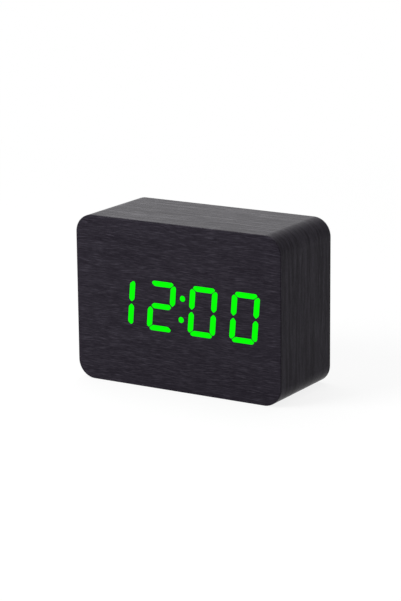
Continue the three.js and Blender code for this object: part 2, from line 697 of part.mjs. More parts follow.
function plunger() {
  return rod(PLUNGER_RADIUS, [SWITCH_HEIGHT - PLUNGER_SUNK, PLUNGER_END]);
}

// Button with its flange's outer face at y = 0
function button() {
  const outer = BUTTON_CLEARANCE + COVER_THICKNESS + BUTTON_PROUD;
  const flange = BUTTON_RADIUS + BUTTON_CLEARANCE + FLANGE_LAP;
  const stemEnd = PLUNGER_END + GLUE - (KEY_BOARD_GAP - BUTTON_CLEARANCE);
  return solid(turned([
    [0, stemEnd],
    [STEM_RADIUS, stemEnd],
    [STEM_RADIUS, -FLANGE_THICKNESS],
    [flange, -FLANGE_THICKNESS],
    [flange, 0],
    [BUTTON_RADIUS, 0],
    [BUTTON_RADIUS, outer - BUTTON_EDGE],
    [BUTTON_RADIUS - BUTTON_EDGE, outer],
    [0, outer],
  ]));
}

function socket() {
  const outline = (inset) => roundedRectangle(
    SOCKET_WIDTH - 2 * inset, SOCKET_HEIGHT - 2 * inset, SOCKET_CORNER - inset,
  );
  const room = slab(outline(SOCKET_WALL), SOCKET_WALL, SOCKET_DEPTH + PAST);
  return cut(slab(outline(0), 0, SOCKET_DEPTH), [room]);
}

function tongue() {
  const foot = SOCKET_WALL + GLUE;
  return box(span(0, TONGUE_WIDTH), [foot, foot + TONGUE_LENGTH], span(0, TONGUE_THICKNESS));
}

function sounder() {
  return solid(turned([
    [0, 0],
    [SOUNDER_RADIUS, 0],
    [SOUNDER_RADIUS, SOUNDER_HEIGHT],
    [SOUND_HOLE, SOUNDER_HEIGHT],
    [SOUND_HOLE, SOUNDER_HEIGHT / 2],
    [0, SOUNDER_HEIGHT / 2],
  ]));
}

function can(radius, height) {
  return solid(turned([
    [0, 0],
    [radius, 0],
    [radius, height - CAN_EDGE],
    [radius - CAN_EDGE, height],
    [0, height],
  ]));
}

function keyPieces() {
  const footY = KEY_REAR_Y + GLUE;
  const turnedRound = (mesh) => {
    mesh.rotation.x = Math.PI;
    return mesh;
  };
  const socketAt = [SOCKET_X, footY, KEY_Z];
  return [
    piece("key_board", keyBoard(), "board"),
    ...KEY_POSTS.map(([x, z], i) => turnedRound(piece(
      `key_screw_${i + 1}`, screw(BOARD_SCREW), "steel", [x, KEY_FRONT_Y - GLUE, z],
    ))),
    turnedRound(piece("key_connector", connector(), "whitePlastic", [RIBBON_X, KEY_PLUG_Y, KEY_Z])),
    turnedRound(piece("supply_capacitor", can(CAPACITOR_RADIUS, CAPACITOR_HEIGHT), "nickel", [
      CAPACITOR_X, KEY_FRONT_Y - GLUE, KEY_Z,
    ])),
    ...Object.entries(BUTTONS).flatMap(([name, x]) => [
      piece(`${name}_switch`, switchBody(), "steel", [x, footY, KEY_Z]),
      piece(`${name}_plunger`, plunger(), "blackPlastic", [x, footY, KEY_Z]),
      piece(`${name}_button`, button(), "keyPlastic", [x, COVER_FRONT_Y - BUTTON_CLEARANCE, KEY_Z]),
    ]),
    piece("power_socket", socket(), "nickel", socketAt),
    piece("socket_tongue", tongue(), "blackPlastic", socketAt),
    piece("alarm_sounder", sounder(), "blackPlastic", [SOUNDER_X, footY, KEY_Z]),
    piece("microphone", can(MICROPHONE_RADIUS, MICROPHONE_HEIGHT), "nickel", [
      MICROPHONE_X, footY, MICROPHONE_Z,
    ]),
  ];
}

// Rear cover and battery door

const HOOK_SWEEP = Math.hypot(DOOR_THICKNESS + HOOK_DROP, HOOK_REACH) + DOOR_GAP;

function wellSlots() {
  const underCover = [COVER_REAR_Y - HOOK_SWEEP, COVER_FRONT_Y];
  const throughLedge = [COVER_FRONT_Y - PAST, COVER_REAR_Y];
  const between = (a, b) => [Math.min(a, b), Math.max(a, b)];
  const slots = (x, width, outerZ, edgeZ, innerZ) => {
    const wide = span(x, width + 4 * DOOR_GAP);
    return [box(wide, underCover, between(outerZ, innerZ)), box(wide, throughLedge, between(edgeZ, innerZ))];
  };
  const hookSlots = [-HOOK_X, HOOK_X].flatMap((x) => (
    slots(x, HOOK_WIDTH, WELL_BOTTOM_Z - WELL_WALL - PAST, HINGE_Z - DOOR_GAP, WELL_BOTTOM_Z + PAST)
  ));
  const latchSlots = slots(
    0, LATCH_WIDTH, WELL_TOP_Z + WELL_WALL + PAST, DOOR_TOP_Z + DOOR_GAP, WELL_TOP_Z - PAST,
  );
  const tailY = span(TAIL_Y, CONTACT + 2 * SLOT_CLEARANCE);
  const tailSlot = (x, z) => box(span(x, 4 * WELL_WALL), tailY, span(z, TAIL_WIDTH + 2 * SLOT_CLEARANCE));
  return [
    ...hookSlots,
    ...latchSlots,
    tailSlot(-WELL_LENGTH / 2, CELL_ZS[0]),
    tailSlot(WELL_LENGTH / 2, CELL_ZS[2]),
  ];
}

function soundHoles() {
  const through = [COVER_FRONT_Y - PAST, COVER_REAR_Y + PAST];
  const hole = (x, z) => rod(SOUND_HOLE, through, x, z, HOLE_SIDES);
  const ring = Array.from({ length: SOUND_RING_HOLES }, (unused, i) => {
    const angle = i * 2 * Math.PI / SOUND_RING_HOLES;
    return hole(SOUNDER_X + SOUND_RING * Math.cos(angle), KEY_Z + SOUND_RING * Math.sin(angle));
  });
  return [hole(SOUNDER_X, KEY_Z), ...ring, hole(MICROPHONE_X, MICROPHONE_Z)];
}

function rearCover() {
  const plate = slab(
    roundedRectangle(COVER_WIDTH, COVER_HEIGHT, CASE_CORNER - RIM - COVER_CLEARANCE, 0, MIDDLE_Z),
    COVER_FRONT_Y, COVER_REAR_Y,
  );
  const well = box(
    span(0, WELL_LENGTH + 2 * WELL_WALL),
    [WELL_FLOOR_Y - WELL_WALL, COVER_FRONT_Y + OVERLAP],
    [WELL_BOTTOM_Z - WELL_WALL, WELL_TOP_Z + WELL_WALL],
  );
  const posts = KEY_POSTS.map(([x, z]) => (
    rod(KEY_POST_RADIUS, [KEY_REAR_Y + GLUE, COVER_FRONT_Y + OVERLAP], x, z)
  ));
  const outside = [COVER_REAR_Y - COUNTERBORE_DEPTH, COVER_REAR_Y + PAST];
  const through = [COVER_FRONT_Y - PAST, COVER_REAR_Y + PAST];
  const plugOpening = roundedRectangle(
    SOCKET_WIDTH + 2 * PLUG_MARGIN, SOCKET_HEIGHT + 2 * PLUG_MARGIN, PLUG_MARGIN, SOCKET_X, KEY_Z,
  );
  const pilot = BOARD_SCREW.shank + SCREW_CLEARANCE;
  const pilotEnd = KEY_FRONT_Y + BOARD_SCREW.length + SCREW_CLEARANCE;
  return cut(joined([plate, well, ...posts]), [
    box(span(0, WELL_LENGTH), [WELL_FLOOR_Y, COVER_REAR_Y + PAST], [WELL_BOTTOM_Z, WELL_TOP_Z]),
    box(
      span(0, 2 * (DOOR_HALF_WIDTH + DOOR_GAP)),
      [DOOR_Y - GLUE, COVER_REAR_Y + PAST],
      [HINGE_Z - DOOR_GAP, DOOR_TOP_Z + DOOR_GAP],
    ),
    rod(FINGER_RADIUS, [COVER_REAR_Y - FINGER_DEPTH, COVER_REAR_Y + PAST], 0, DOOR_TOP_Z),
    ...wellSlots(),
    ...soundHoles(),
    slab(plugOpening, ...through),
    ...Object.values(BUTTONS).map((x) => rod(BUTTON_RADIUS + BUTTON_CLEARANCE, through, x, KEY_Z)),
    ...COVER_SCREWS.flatMap(([x, z]) => [
      rod(COVER_SCREW.shank + SCREW_CLEARANCE, through, x, z, SCREW_SIDES),
      rod(COVER_SCREW.head + COUNTERBORE_CLEARANCE, outside, x, z),
    ]),
    ...KEY_POSTS.map(([x, z]) => rod(pilot, [KEY_REAR_Y - PAST, pilotEnd], x, z, SCREW_SIDES)),
  ]);
}

// The door with its hinge line, the outer lower edge, on the X axis
function batteryDoor() {
  const height = DOOR_TOP_Z - HINGE_Z;
  const innerY = -DOOR_THICKNESS;
  const footY = [innerY - HOOK_DROP, innerY - HOOK_DROP + HOOK_THICKNESS];
  const legY = [innerY - HOOK_DROP, innerY + OVERLAP];
  const hooks = [-HOOK_X, HOOK_X].flatMap((x) => [
    box(span(x, HOOK_WIDTH), legY, [DOOR_GAP, DOOR_GAP + HOOK_THICKNESS]),
    box(span(x, HOOK_WIDTH), footY, [-HOOK_REACH, DOOR_GAP + HOOK_THICKNESS / 2]),
  ]);
  const legTop = height - DOOR_GAP;
  const latch = [
    box(span(0, LATCH_WIDTH), legY, [legTop - HOOK_THICKNESS, legTop]),
    box(span(0, LATCH_WIDTH), footY, [legTop - HOOK_THICKNESS / 2, height + LATCH_CATCH]),
  ];
  const plate = box(span(0, 2 * DOOR_HALF_WIDTH), [innerY, 0], [0, height]);
  return joined([plate, ...hooks, ...latch]);
}

function coverPieces() {
  const headY = COVER_REAR_Y - COUNTERBORE_DEPTH + GLUE;
  return [
    piece("rear_cover", rearCover(), "blackPlastic"),
    ...COVER_SCREWS.map(([x, z], i) => piece(
      `cover_screw_${i + 1}`, screw(COVER_SCREW), "steel", [x, headY, z],
    )),
    piece("battery_door", batteryDoor(), "blackPlastic", [0, COVER_REAR_Y, HINGE_Z]),
  ];
}

// Cells and contacts. The outer cells have their nub to the left, the middle one to the right.

// A cell along X with its flat end at the origin and its nub towards -X
function cell() {
  const radius = CELL_DIAMETER / 2;
  const shoulder = CELL_LENGTH - CELL_NUB;
  const jacket = turned([
    [0, 0],
    [radius - CELL_EDGE, 0],
    [radius, CELL_EDGE],
    [radius, shoulder - CELL_EDGE],
    [radius - CELL_EDGE, shoulder],
    [CELL_NUB_RADIUS, shoulder],
    [CELL_NUB_RADIUS, CELL_LENGTH],
    [0, CELL_LENGTH],
  ]);
  jacket.rotateZ(Math.PI / 2);
  return solid(jacket);
}

// A cone of wire along X. It leaves its ends straight, then takes up its winding.
class SpringPath extends THREE.Curve {
  static ease = 0.14; // share of the winding over which the turning starts and stops

  turn(along) {
    const { ease } = SpringPath;
    const full = 1 - ease;
    if (along < ease) return along ** 2 / (2 * ease * full);
    if (along > 1 - ease) return 1 - (1 - along) ** 2 / (2 * ease * full);
    return (along - ease / 2) / full;
  }

  getPoint(t, target = new THREE.Vector3()) {
    const x = t * SPRING_LENGTH;
    const wound = (x - SPRING_WIRE) / (SPRING_LENGTH - 2 * SPRING_WIRE);
    const along = THREE.MathUtils.clamp(wound, 0, 1);
    const radius = THREE.MathUtils.lerp(SPRING_FOOT_RADIUS, SPRING_TIP_RADIUS, along);
    const angle = 2 * Math.PI * SPRING_TURNS * this.turn(along);
    return target.set(x, radius * Math.cos(angle), radius * Math.sin(angle));
  }
}

const SPRING_STEPS = Math.round(8 * SPRING_TURNS) + 8;

// Smallest distance between wire surfaces at least half a turn apart along the winding
function springGap() {
  const points = new SpringPath().getSpacedPoints(40 * SPRING_STEPS);
  const apart = Math.round(points.length / SPRING_TURNS / 2);
  let least = Infinity;
  for (let i = 0; i < points.length; i += 4) {
    for (let j = i + apart; j < points.length; j += 4) {
      least = Math.min(least, points[i].distanceTo(points[j]));
    }
  }
  return least - SPRING_WIRE;
}

function regularPolygon(radius, sides) {
  return new THREE.Shape(new THREE.EllipseCurve(0, 0, radius, radius).getPoints(sides).slice(1));
}

function spring() {
  const section = regularPolygon(SPRING_WIRE / 2, SPRING_SIDES);
  return solid(new THREE.ExtrudeGeometry(section, { steps: SPRING_STEPS, extrudePath: new SpringPath() }));
}

// A contact plate beside the given cells, with a solder tail if it ends the row
function contact(side, rows, tailed) {
  const zs = rows.map((row) => CELL_ZS[row]);
  const half = CONTACT_DEPTH / 2;
  const plateX = side < 0 ? [-CONTACT_X - CONTACT, -CONTACT_X] : [CONTACT_X, CONTACT_X + CONTACT];
  const plate = box(plateX, span(CELL_Y, CONTACT_DEPTH), [Math.min(...zs) - half, Math.max(...zs) + half]);
  if (!tailed) return plate;
  const tailX = side < 0 ? [-TAIL_X, -CONTACT_X] : [CONTACT_X, TAIL_X];
  return joined([plate, box(tailX, span(TAIL_Y, CONTACT), span(zs[0], TAIL_WIDTH))]);
}

// A wire from a contact's tail round the well's end to the front of the key board
function wire(side, row) {
  const z = CELL_ZS[row];
  const startX = TAIL_X + WIRE_GAP;
  const bendX = startX + 5 * WIRE_RADIUS;
  const padX = SOCKET_X + WIRE_RADIUS;
  const path = new THREE.CatmullRomCurve3([
    [startX, TAIL_Y, z],
    [startX + 2 * WIRE_RADIUS, TAIL_Y, z],
    [bendX, TAIL_Y - WIRE_RADIUS, z + 5 * WIRE_RADIUS],
    [bendX, KEY_FRONT_Y - 6 * WIRE_RADIUS, KEY_BOTTOM_Z - 5 * WIRE_RADIUS],
    [padX, KEY_FRONT_Y - 5 * WIRE_RADIUS, KEY_Z - 3 * WIRE_RADIUS],
    [padX, KEY_FRONT_Y - 2.5 * WIRE_RADIUS, KEY_Z],
    [padX, KEY_FRONT_Y - WIRE_GAP, KEY_Z],
  ].map(([x, y, pointZ]) => new THREE.Vector3(side * x, y, pointZ)));
  const section = regularPolygon(WIRE_RADIUS, WIRE_SIDES);
  const steps = Math.round(path.getLength() / (4 * WIRE_RADIUS));
  return solid(new THREE.ExtrudeGeometry(section, { steps, extrudePath: path }));
}

function batteryPieces() {
  const facing = [1, -1, 1]; // which way each cell's flat end points
  const cells = facing.flatMap((sign, i) => {
    const turn = sign > 0 ? 0 : Math.PI;
    const jacket = piece(`battery_${i + 1}`, cell(), "cellJacket", [
      sign * (CELL_LENGTH - CONTACT_X + GLUE), CELL_Y, CELL_ZS[i],
    ]);
    jacket.rotation.z = turn;
    const coil = piece(`battery_spring_${i + 1}`, spring(), "nickel", [
      sign * (CONTACT_X - GLUE), CELL_Y, CELL_ZS[i],
    ]);
    coil.rotation.z = Math.PI - turn;
    return [jacket, coil];
  });
  return [
    ...cells,
    piece("positive_contact", contact(-1, [0], true), "nickel"),
    piece("left_bridge", contact(-1, [1, 2], false), "nickel"),
    piece("right_bridge", contact(1, [0, 1], false), "nickel"),
    piece("negative_contact", contact(1, [2], true), "nickel"),
    piece("positive_wire", wire(-1, 0), "redWire"),
    piece("negative_wire", wire(1, 2), "blackWire"),
  ];
}

function group(name, pieces) {
  const made = new THREE.Group();
  made.name = name;
  made.add(...pieces);
  return made;
}

console.log(`contact springs: least gap to themselves ${springGap().toFixed(2)} mm`);

export default group("alarm_clock", [
  group("case", casePieces()),
  group("display", displayPieces()),
  group("keys", keyPieces()),
  group("cover", coverPieces()),
  group("battery", batteryPieces()),
]);
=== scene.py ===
"""Models the looks of a digital alarm clock around its packed CAD frame.

Shapes are drawn in millimetres, in the frame's axes: X to the right seen from the front, Y to the
rear and Z up, from the middle of the underside. A finished piece is scaled to metres.
"""

import json
from math import asin, cos, degrees, hypot, pi, radians, sin, tan

import bmesh
import bpy
from bpy.props import FloatProperty, FloatVectorProperty, IntProperty, PointerProperty, StringProperty
from mathutils import Matrix, Vector

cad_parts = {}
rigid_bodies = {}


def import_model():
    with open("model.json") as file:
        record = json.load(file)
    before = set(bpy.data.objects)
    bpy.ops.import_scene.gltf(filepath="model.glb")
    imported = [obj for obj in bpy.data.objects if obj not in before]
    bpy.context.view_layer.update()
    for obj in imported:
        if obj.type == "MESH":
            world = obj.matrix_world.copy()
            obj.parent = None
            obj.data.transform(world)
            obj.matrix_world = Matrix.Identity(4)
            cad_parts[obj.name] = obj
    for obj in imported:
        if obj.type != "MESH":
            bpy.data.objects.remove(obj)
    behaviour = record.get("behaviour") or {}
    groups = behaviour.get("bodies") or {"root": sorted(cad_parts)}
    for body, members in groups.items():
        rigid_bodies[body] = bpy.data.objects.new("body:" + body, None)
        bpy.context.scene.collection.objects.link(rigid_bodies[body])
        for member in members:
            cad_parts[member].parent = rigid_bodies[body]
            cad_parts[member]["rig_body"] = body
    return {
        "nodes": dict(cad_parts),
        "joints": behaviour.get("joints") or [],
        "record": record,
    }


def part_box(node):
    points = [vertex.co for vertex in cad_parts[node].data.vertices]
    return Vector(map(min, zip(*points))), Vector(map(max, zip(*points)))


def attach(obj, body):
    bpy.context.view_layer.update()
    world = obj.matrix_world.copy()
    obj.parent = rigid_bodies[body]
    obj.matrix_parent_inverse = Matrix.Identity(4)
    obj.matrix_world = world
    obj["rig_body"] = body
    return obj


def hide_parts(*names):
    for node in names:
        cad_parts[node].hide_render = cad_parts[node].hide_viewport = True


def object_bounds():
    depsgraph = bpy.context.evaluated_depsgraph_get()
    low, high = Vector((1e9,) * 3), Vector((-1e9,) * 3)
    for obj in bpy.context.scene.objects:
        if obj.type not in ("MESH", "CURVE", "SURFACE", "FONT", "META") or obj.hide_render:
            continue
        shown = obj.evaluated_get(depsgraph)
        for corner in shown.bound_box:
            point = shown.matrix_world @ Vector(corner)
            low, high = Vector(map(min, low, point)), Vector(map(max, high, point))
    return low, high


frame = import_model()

bl_info = {
    "name": "Block alarm clock",
    "version": (1, 0, 0),
    "blender": (4, 5, 0),
    "location": "View3D > Sidebar > Clock",
    "description": "Models the film, lit digits, rear cover, keys and battery bay of an alarm clock",
    "category": "Object",
}

MM = 0.001
CAD_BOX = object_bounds()
HEIGHT = CAD_BOX[1].z / MM
FRONT_Y = CAD_BOX[0].y / MM
REAR_Y = CAD_BOX[1].y / MM
UPRIGHT = Matrix.Rotation(pi / 2, 4, "X")  # lays a shape drawn in X and Y into X and Z
ALONG_X = Matrix.Rotation(-pi / 2, 4, "Z")  # turns a shape along Y until it points along X
SHARP = radians(35)  # edges that turn by more than this stay crisp
SLOTS = {part["node"]: part["material_slot"] for part in frame["record"]["subparts"]}

# Sizes in millimetres that pieces share
GLUE = 0.05  # layer between parts that lie face to face
PROUD = 0.02  # the lit segments stand this far out of the film
DOOR_THICKNESS = 1.8
DOOR_GAP = 0.25  # around the battery door
HOOK_X = 15
HOOK_WIDTH = 6
HOOK_DROP = 2.4
HOOK_REACH = 1.5
HOOK_THICKNESS = 1.2
LATCH_WIDTH = 8
LATCH_CATCH = 0.5
PILOT = 1.15  # radius of the pilot holes for the boards' screws
TIP_GAP = 0.04  # from a screw's tip to the end of its pilot hole
NEAR = 1e-4  # points this close count as one

# Grain of the film: length and width of a mark in millimetres, and weight as a third number
FRONT_BANDS = (40, 3.2, 0.2)
FRONT_STREAKS = (7, 0.4, 1.0)
SIDE_BANDS = (45, 1.8, 0.75)
SIDE_STREAKS = (10, 0.7, 0.9)
FLECKS = (2.6, 0.3)
SWAY = (24, 9)
SWAY_REACH = 1.2  # most that the grain sways to either side


# Settings

def length(name, millimetres, description):
    """A size that a user would change."""
    return FloatProperty(
        name=name, description=description, default=millimetres * MM,
        min=0.0, precision=5, unit="LENGTH",
    )


def colour(name, rgb, description):
    """A colour that a user would change."""
    return FloatVectorProperty(
        name=name, description=description, default=rgb,
        size=3, min=0.0, max=1.0, subtype="COLOR",
    )


def share(name, value, description):
    """A number from 0 to 1 that a user would change."""
    return FloatProperty(
        name=name, description=description, default=value,
        min=0.0, max=1.0, precision=3, subtype="FACTOR",
    )


def angle(name, turn, description):
    """An angle, given in degrees, that a user would change."""
    return FloatProperty(name=name, description=description, default=radians(turn), subtype="ANGLE")


def power(name, watts, description):
    """A lamp's power that a user would change."""
    return FloatProperty(name=name, description=description, default=watts, min=0.0, unit="POWER")


def pixels(name, value, description):
    """A distance in pixels of the image that a user would change."""
    return FloatProperty(name=name, description=description, default=value, subtype="PIXEL")


class ClockCase(bpy.types.PropertyGroup):
    """Wooden block and the film around it."""

    corner: length("Corner radius", 8, "Corner of the case seen from the front")
    film: length("Film thickness", 0.6, "Wood-grain film on the wood")
    front_edge: length("Front edge", 0.35, "Rounding of the front film's outer edge")
    film_edge: length("Film edge", 0.12, "Rounding of the film's other edges")
    rim: length("Rim", 4, "Wood and film around the rear cover")
    ledge: length("Ledge", 2, "Step in the wood that carries the rear cover")
    post: length("Post", 8, "Square of wood left in each corner of the hollow")
    front_board: length("Front board", 3, "Wood behind the front film")
    dark_grain: colour("Dark grain", (0.0118, 0.0098, 0.0145), "Film between the streaks")
    light_grain: colour("Light grain", (0.041, 0.0365, 0.0480), "Film along the streaks")
    roughness: share("Film roughness", 0.3, "Satin surface of the film")
    gloss: share("Film gloss", 0.023, "Reflection level of the film")
    wood: colour("Wood", (0.021, 0.018, 0.017), "Fibreboard stained black")


class ClockDisplay(bpy.types.PropertyGroup):
    """Digits that shine through the front film."""

    time: StringProperty(name="Time", description="Four digits with a colon", default="12:00")
    digit_height: length("Digit height", 21.6, "Height of a digit's light")
    digit_width: length("Digit width", 13.3, "Width of a digit's light before it leans over")
    lift: length("Lift", 0.2, "Middle of the light above the middle of its lens")
    spread: share("Spread", 0.991, "Spacing of the digits' lights over the spacing of their lenses")
    slant: angle("Slant", 4.7, "How far the digits lean to the right")
    upright: length("Upright segments", 2.6, "Width of the upright segments")
    level: length("Level segments", 2.3, "Width of the level segments")
    gap: length("Tip gap", 0.7, "Gap between the tips of two upright segments")
    slit: length("Slit", 0.2, "Gap between an upright and a level segment")
    cut: length("Corner cut", 2.0, "How far a digit's outer corners are cut off")
    rounding: length("Rounding", 0.5, "Rounded corners of a segment")
    dot: length("Dot", 2.55, "Diameter of the colon's dots")
    dot_spacing: length("Dot spacing", 9.2, "Distance between the colon's dots")
    light: colour("Light", (0.0, 1.0, 0.0), "Colour of the lit segments")


class ClockRear(bpy.types.PropertyGroup):
    """Rear cover, keys and battery bay."""

    recess: length("Recess", 2, "Rear cover behind the rim of the case")
    cover: length("Cover thickness", 2.2, "Rear cover's plate")
    corner: length("Cover corner", 3.7, "Corner radius of the rear cover")
    edge: length("Cover edge", 0.3, "Rounded edges of the cover, its openings and the battery door")
    plastic: colour("Plastic", (0.0105, 0.0105, 0.0115), "Cover and battery door")
    keys: colour("Keys", (0.024, 0.024, 0.027), "Push buttons")
    marks: colour("Key marks", (0.42, 0.42, 0.42), "Paint on the raised dot and arrows of the buttons")
    dish: length("Key dish", 0.3, "Hollow for the fingertip in a button")
    ridges: IntProperty(
        name="Grip ridges", description="Ridges on the battery door", default=5, min=0, max=6,
    )
    cell: colour("Cell", (0.030, 0.085, 0.165), "Lacquer of the cells")
    cell_band: colour("Cell band", (0.42, 0.40, 0.34), "Band at the positive end of the cells")


class ClockStage(bpy.types.PropertyGroup):
    """Floor, lamps and camera."""

    floor: colour("Floor", (0.9, 0.9, 0.9), "Floor under the clock")
    whiteness: share("Whiteness", 0.85, "How much of the floor near the clock shows as plain white")
    sky: share("Sky", 0.3, "Light from all round")
    key_power: power("Key lamp", 6.6, "Lamp at the front left")
    top_power: power("Top lamp", 10, "Lamp above")
    rear_power: power("Rear lamp", 2.4, "Low lamp at the rear left, which the top reflects")
    azimuth: angle("Azimuth", 31.413, "Camera to the right of the clock's front")
    elevation: angle("Elevation", 13.943, "Camera above the horizon")
    roll: angle("Roll", -0.539, "Camera about its own line of sight")
    distance: length("Distance", 974.18, "Camera to the middle of the clock")
    focal: pixels("Focal length", 2286.31, "Lens to image")
    centre_x: pixels("Centre X", 203.02, "Line of sight from the image's left edge")
    centre_y: pixels("Centre Y", 298.31, "Line of sight from the image's top edge")


# Shapes

def mm(size):
    """A length in metres as millimetres."""
    return size / MM


def box_mm(node):
    """Lowest and highest corners of a CAD node in millimetres."""
    low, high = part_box(node)
    return low / MM, high / MM


def middle_mm(node):
    """Middle of a CAD node's box in millimetres."""
    low, high = box_mm(node)
    return (low + high) / 2


def hinge_line():
    """A point on the battery door's hinge, in millimetres."""
    joint = next(joint for joint in frame["joints"] if joint["name"] == "battery_lid_hinge")
    return Vector(joint["pos_m"]) / MM


def span(middle, size):
    """The two ends of a size about its middle."""
    return middle - size / 2, middle + size / 2


def corners(x_span, z_span):
    """The four corners of a rectangle across X and Z."""
    (x0, x1), (z0, z1) = x_span, z_span
    return [(x0, z0), (x1, z0), (x1, z1), (x0, z1)]


def box_corners(low, high):
    """The four corners of a box seen from the front."""
    return corners((low.x, high.x), (low.z, high.z))


def arc(radius, x, z, start, stop, steps):
    """Points of a circle's arc. Angles are degrees."""
    turns = [radians(start + (stop - start) * i / steps) for i in range(steps + 1)]
    return [(x + radius * cos(turn), z + radius * sin(turn)) for turn in turns]


def of_kind(items, kind):
    """The vertices, edges or faces among an operator's results."""
    return [item for item in items if isinstance(item, kind)]


def edges_at(verts):
    """Edges at these vertices, each once and in the same order every run."""
    return list(dict.fromkeys(edge for vert in verts for edge in vert.link_edges))


def soften(bm, edges, radius, segments=3):
    """Rounds edges. Where normals are averaged, the faces beside the rounding outweigh it."""
    bmesh.ops.bevel(
        bm, geom=edges, offset=radius, offset_type="OFFSET", segments=segments, profile=0.5,
        affect="EDGES", material=-1, face_strength_mode="AFFECTED",
    )


def rounded_face(bm, points, y, radius=0.0, steps=12):
    """A flat face through [x, z] points with rounded corners."""
    verts = [bm.verts.new((x, y, z)) for x, z in points]
    face = bm.faces.new(verts)
    if not radius:
        return face
    rounded = bmesh.ops.bevel(
        bm, geom=verts, offset=radius, offset_type="OFFSET", segments=steps, profile=0.5,
        affect="VERTICES", material=-1,
    )
    return rounded["verts"][0].link_faces[0]


def ring(bm, points, y, radius=0.0, steps=12):
    """A closed outline through [x, z] points with rounded corners."""
    face = rounded_face(bm, points, y, radius, steps)
    edges = face.edges[:]
    bmesh.ops.delete(bm, geom=[face], context="FACES_ONLY")
    return edges


def round_ring(bm, radius, x, z, y, sides=64):
    """A circle across X and Z."""
    place = Matrix.Translation((x, y, z)) @ UPRIGHT
    verts = bmesh.ops.create_circle(bm, segments=sides, radius=radius, matrix=place)["verts"]
    return edges_at(verts)


def filled(bm, edges):
    """Faces inside the outermost of these outlines and outside the others."""
    made = bmesh.ops.triangle_fill(bm, use_beauty=True, use_dissolve=False, edges=edges)
    return of_kind(made["geom"], bmesh.types.BMFace)


def raised(bm, edges, y):
    """Walls from an outline to the plane at y. Gives the outline there."""
    moved = bmesh.ops.extrude_edge_only(bm, edges=edges)["geom"]
    verts = of_kind(moved, bmesh.types.BMVert)
    for vert in verts:
        vert.co.y = y
    return [edge for edge in edges_at(verts) if all(vert in verts for vert in edge.verts)]


def step(bm, edges, y, outline=()):
    """Walls from an outline to the plane at y, and a floor from there to the next outline."""
    filled(bm, raised(bm, edges, y) + list(outline))
    return list(outline)


def extruded(bm, faces, distance):
    """Extrudes faces along Y and gives the moved ones."""
    moved = bmesh.ops.extrude_face_region(bm, geom=faces)["geom"]
    bmesh.ops.translate(bm, vec=(0, distance, 0), verts=of_kind(moved, bmesh.types.BMVert))
    return of_kind(moved, bmesh.types.BMFace)


def rims(bm, y):
    """Sharp edges in the plane at y."""
    bmesh.ops.recalc_face_normals(bm, faces=bm.faces)
    return [
        edge for edge in bm.edges
        if all(abs(vert.co.y - y) < NEAR for vert in edge.verts)
        and edge.is_manifold and edge.calc_face_angle() > SHARP
    ]


def soft_box(bm, low, high, radius, segments=2):
    """A box with rounded edges."""
    place = Matrix.Translation((low + high) / 2) @ Matrix.Diagonal((*(high - low), 1))
    verts = bmesh.ops.create_cube(bm, size=1, matrix=place)["verts"]
    soften(bm, edges_at(verts), radius, segments)


def screw_posts(bm, screw, radius, foot_y, end_y, tip_y):
    """Four round posts with a board's screws in them. Gives their outlines where they stand."""
    feet = []
    for number in range(1, 5):
        middle = middle_mm(f"{screw}_{number}")
        foot = round_ring(bm, radius, middle.x, middle.z, foot_y, 32)
        pilot = round_ring(bm, PILOT, middle.x, middle.z, end_y, 32)
        step(bm, step(bm, foot, end_y, pilot), tip_y)
        feet += foot
    return feet


def turned(bm, profile, place=Matrix(), steps=64):
    """Turns [radius, y] points round the Y axis, then moves the shape to its place."""
    before = set(bm.verts)
    verts = [bm.verts.new((radius, y, 0)) for radius, y in profile]
    edges = [bm.edges.new(pair) for pair in zip(verts, verts[1:])]
    bmesh.ops.spin(
        bm, geom=verts + edges, cent=(0, 0, 0), axis=(0, 1, 0), angle=2 * pi, steps=steps,
        use_merge=True,
    )
    made = [vert for vert in bm.verts if vert not in before]
    bmesh.ops.transform(bm, matrix=place, verts=made)
    bmesh.ops.remove_doubles(bm, verts=made, dist=NEAR)


def piece(name, bm, finishes, node, hides=True, weigh="FACE_AREA"):
    """Makes a mesh a named piece on the body of a CAD node.

    hides says whether it takes the node's place. weigh says how normals are averaged: corner angles
    serve a flat side of slim triangles.
    """
    bmesh.ops.remove_doubles(bm, verts=bm.verts, dist=NEAR)
    bmesh.ops.recalc_face_normals(bm, faces=bm.faces)
    open_edges = sum(not edge.is_manifold for edge in bm.edges)
    if open_edges:
        raise ValueError(f"{name} has {open_edges} open edges")
    for face in bm.faces:
        face.smooth = True
    for edge in bm.edges:
        edge.smooth = edge.calc_face_angle() < SHARP
    bmesh.ops.scale(bm, vec=(MM, MM, MM), verts=bm.verts)
    mesh = bpy.data.meshes.new(name)
    bm.to_mesh(mesh)
    bm.free()
    for finish in finishes:
        mesh.materials.append(finish)
    made = bpy.data.objects.new(name, mesh)
    bpy.context.scene.collection.objects.link(made)
    flat = made.modifiers.new("flat_faces", "WEIGHTED_NORMAL")
    flat.mode = weigh
    flat.keep_sharp = True
    flat.use_face_influence = True
    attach(made, frame["nodes"][node]["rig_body"])
    if hides:
        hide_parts(node)


# Finishes

MOST = (0.3, 0.7)  # most values of a noise lie between these


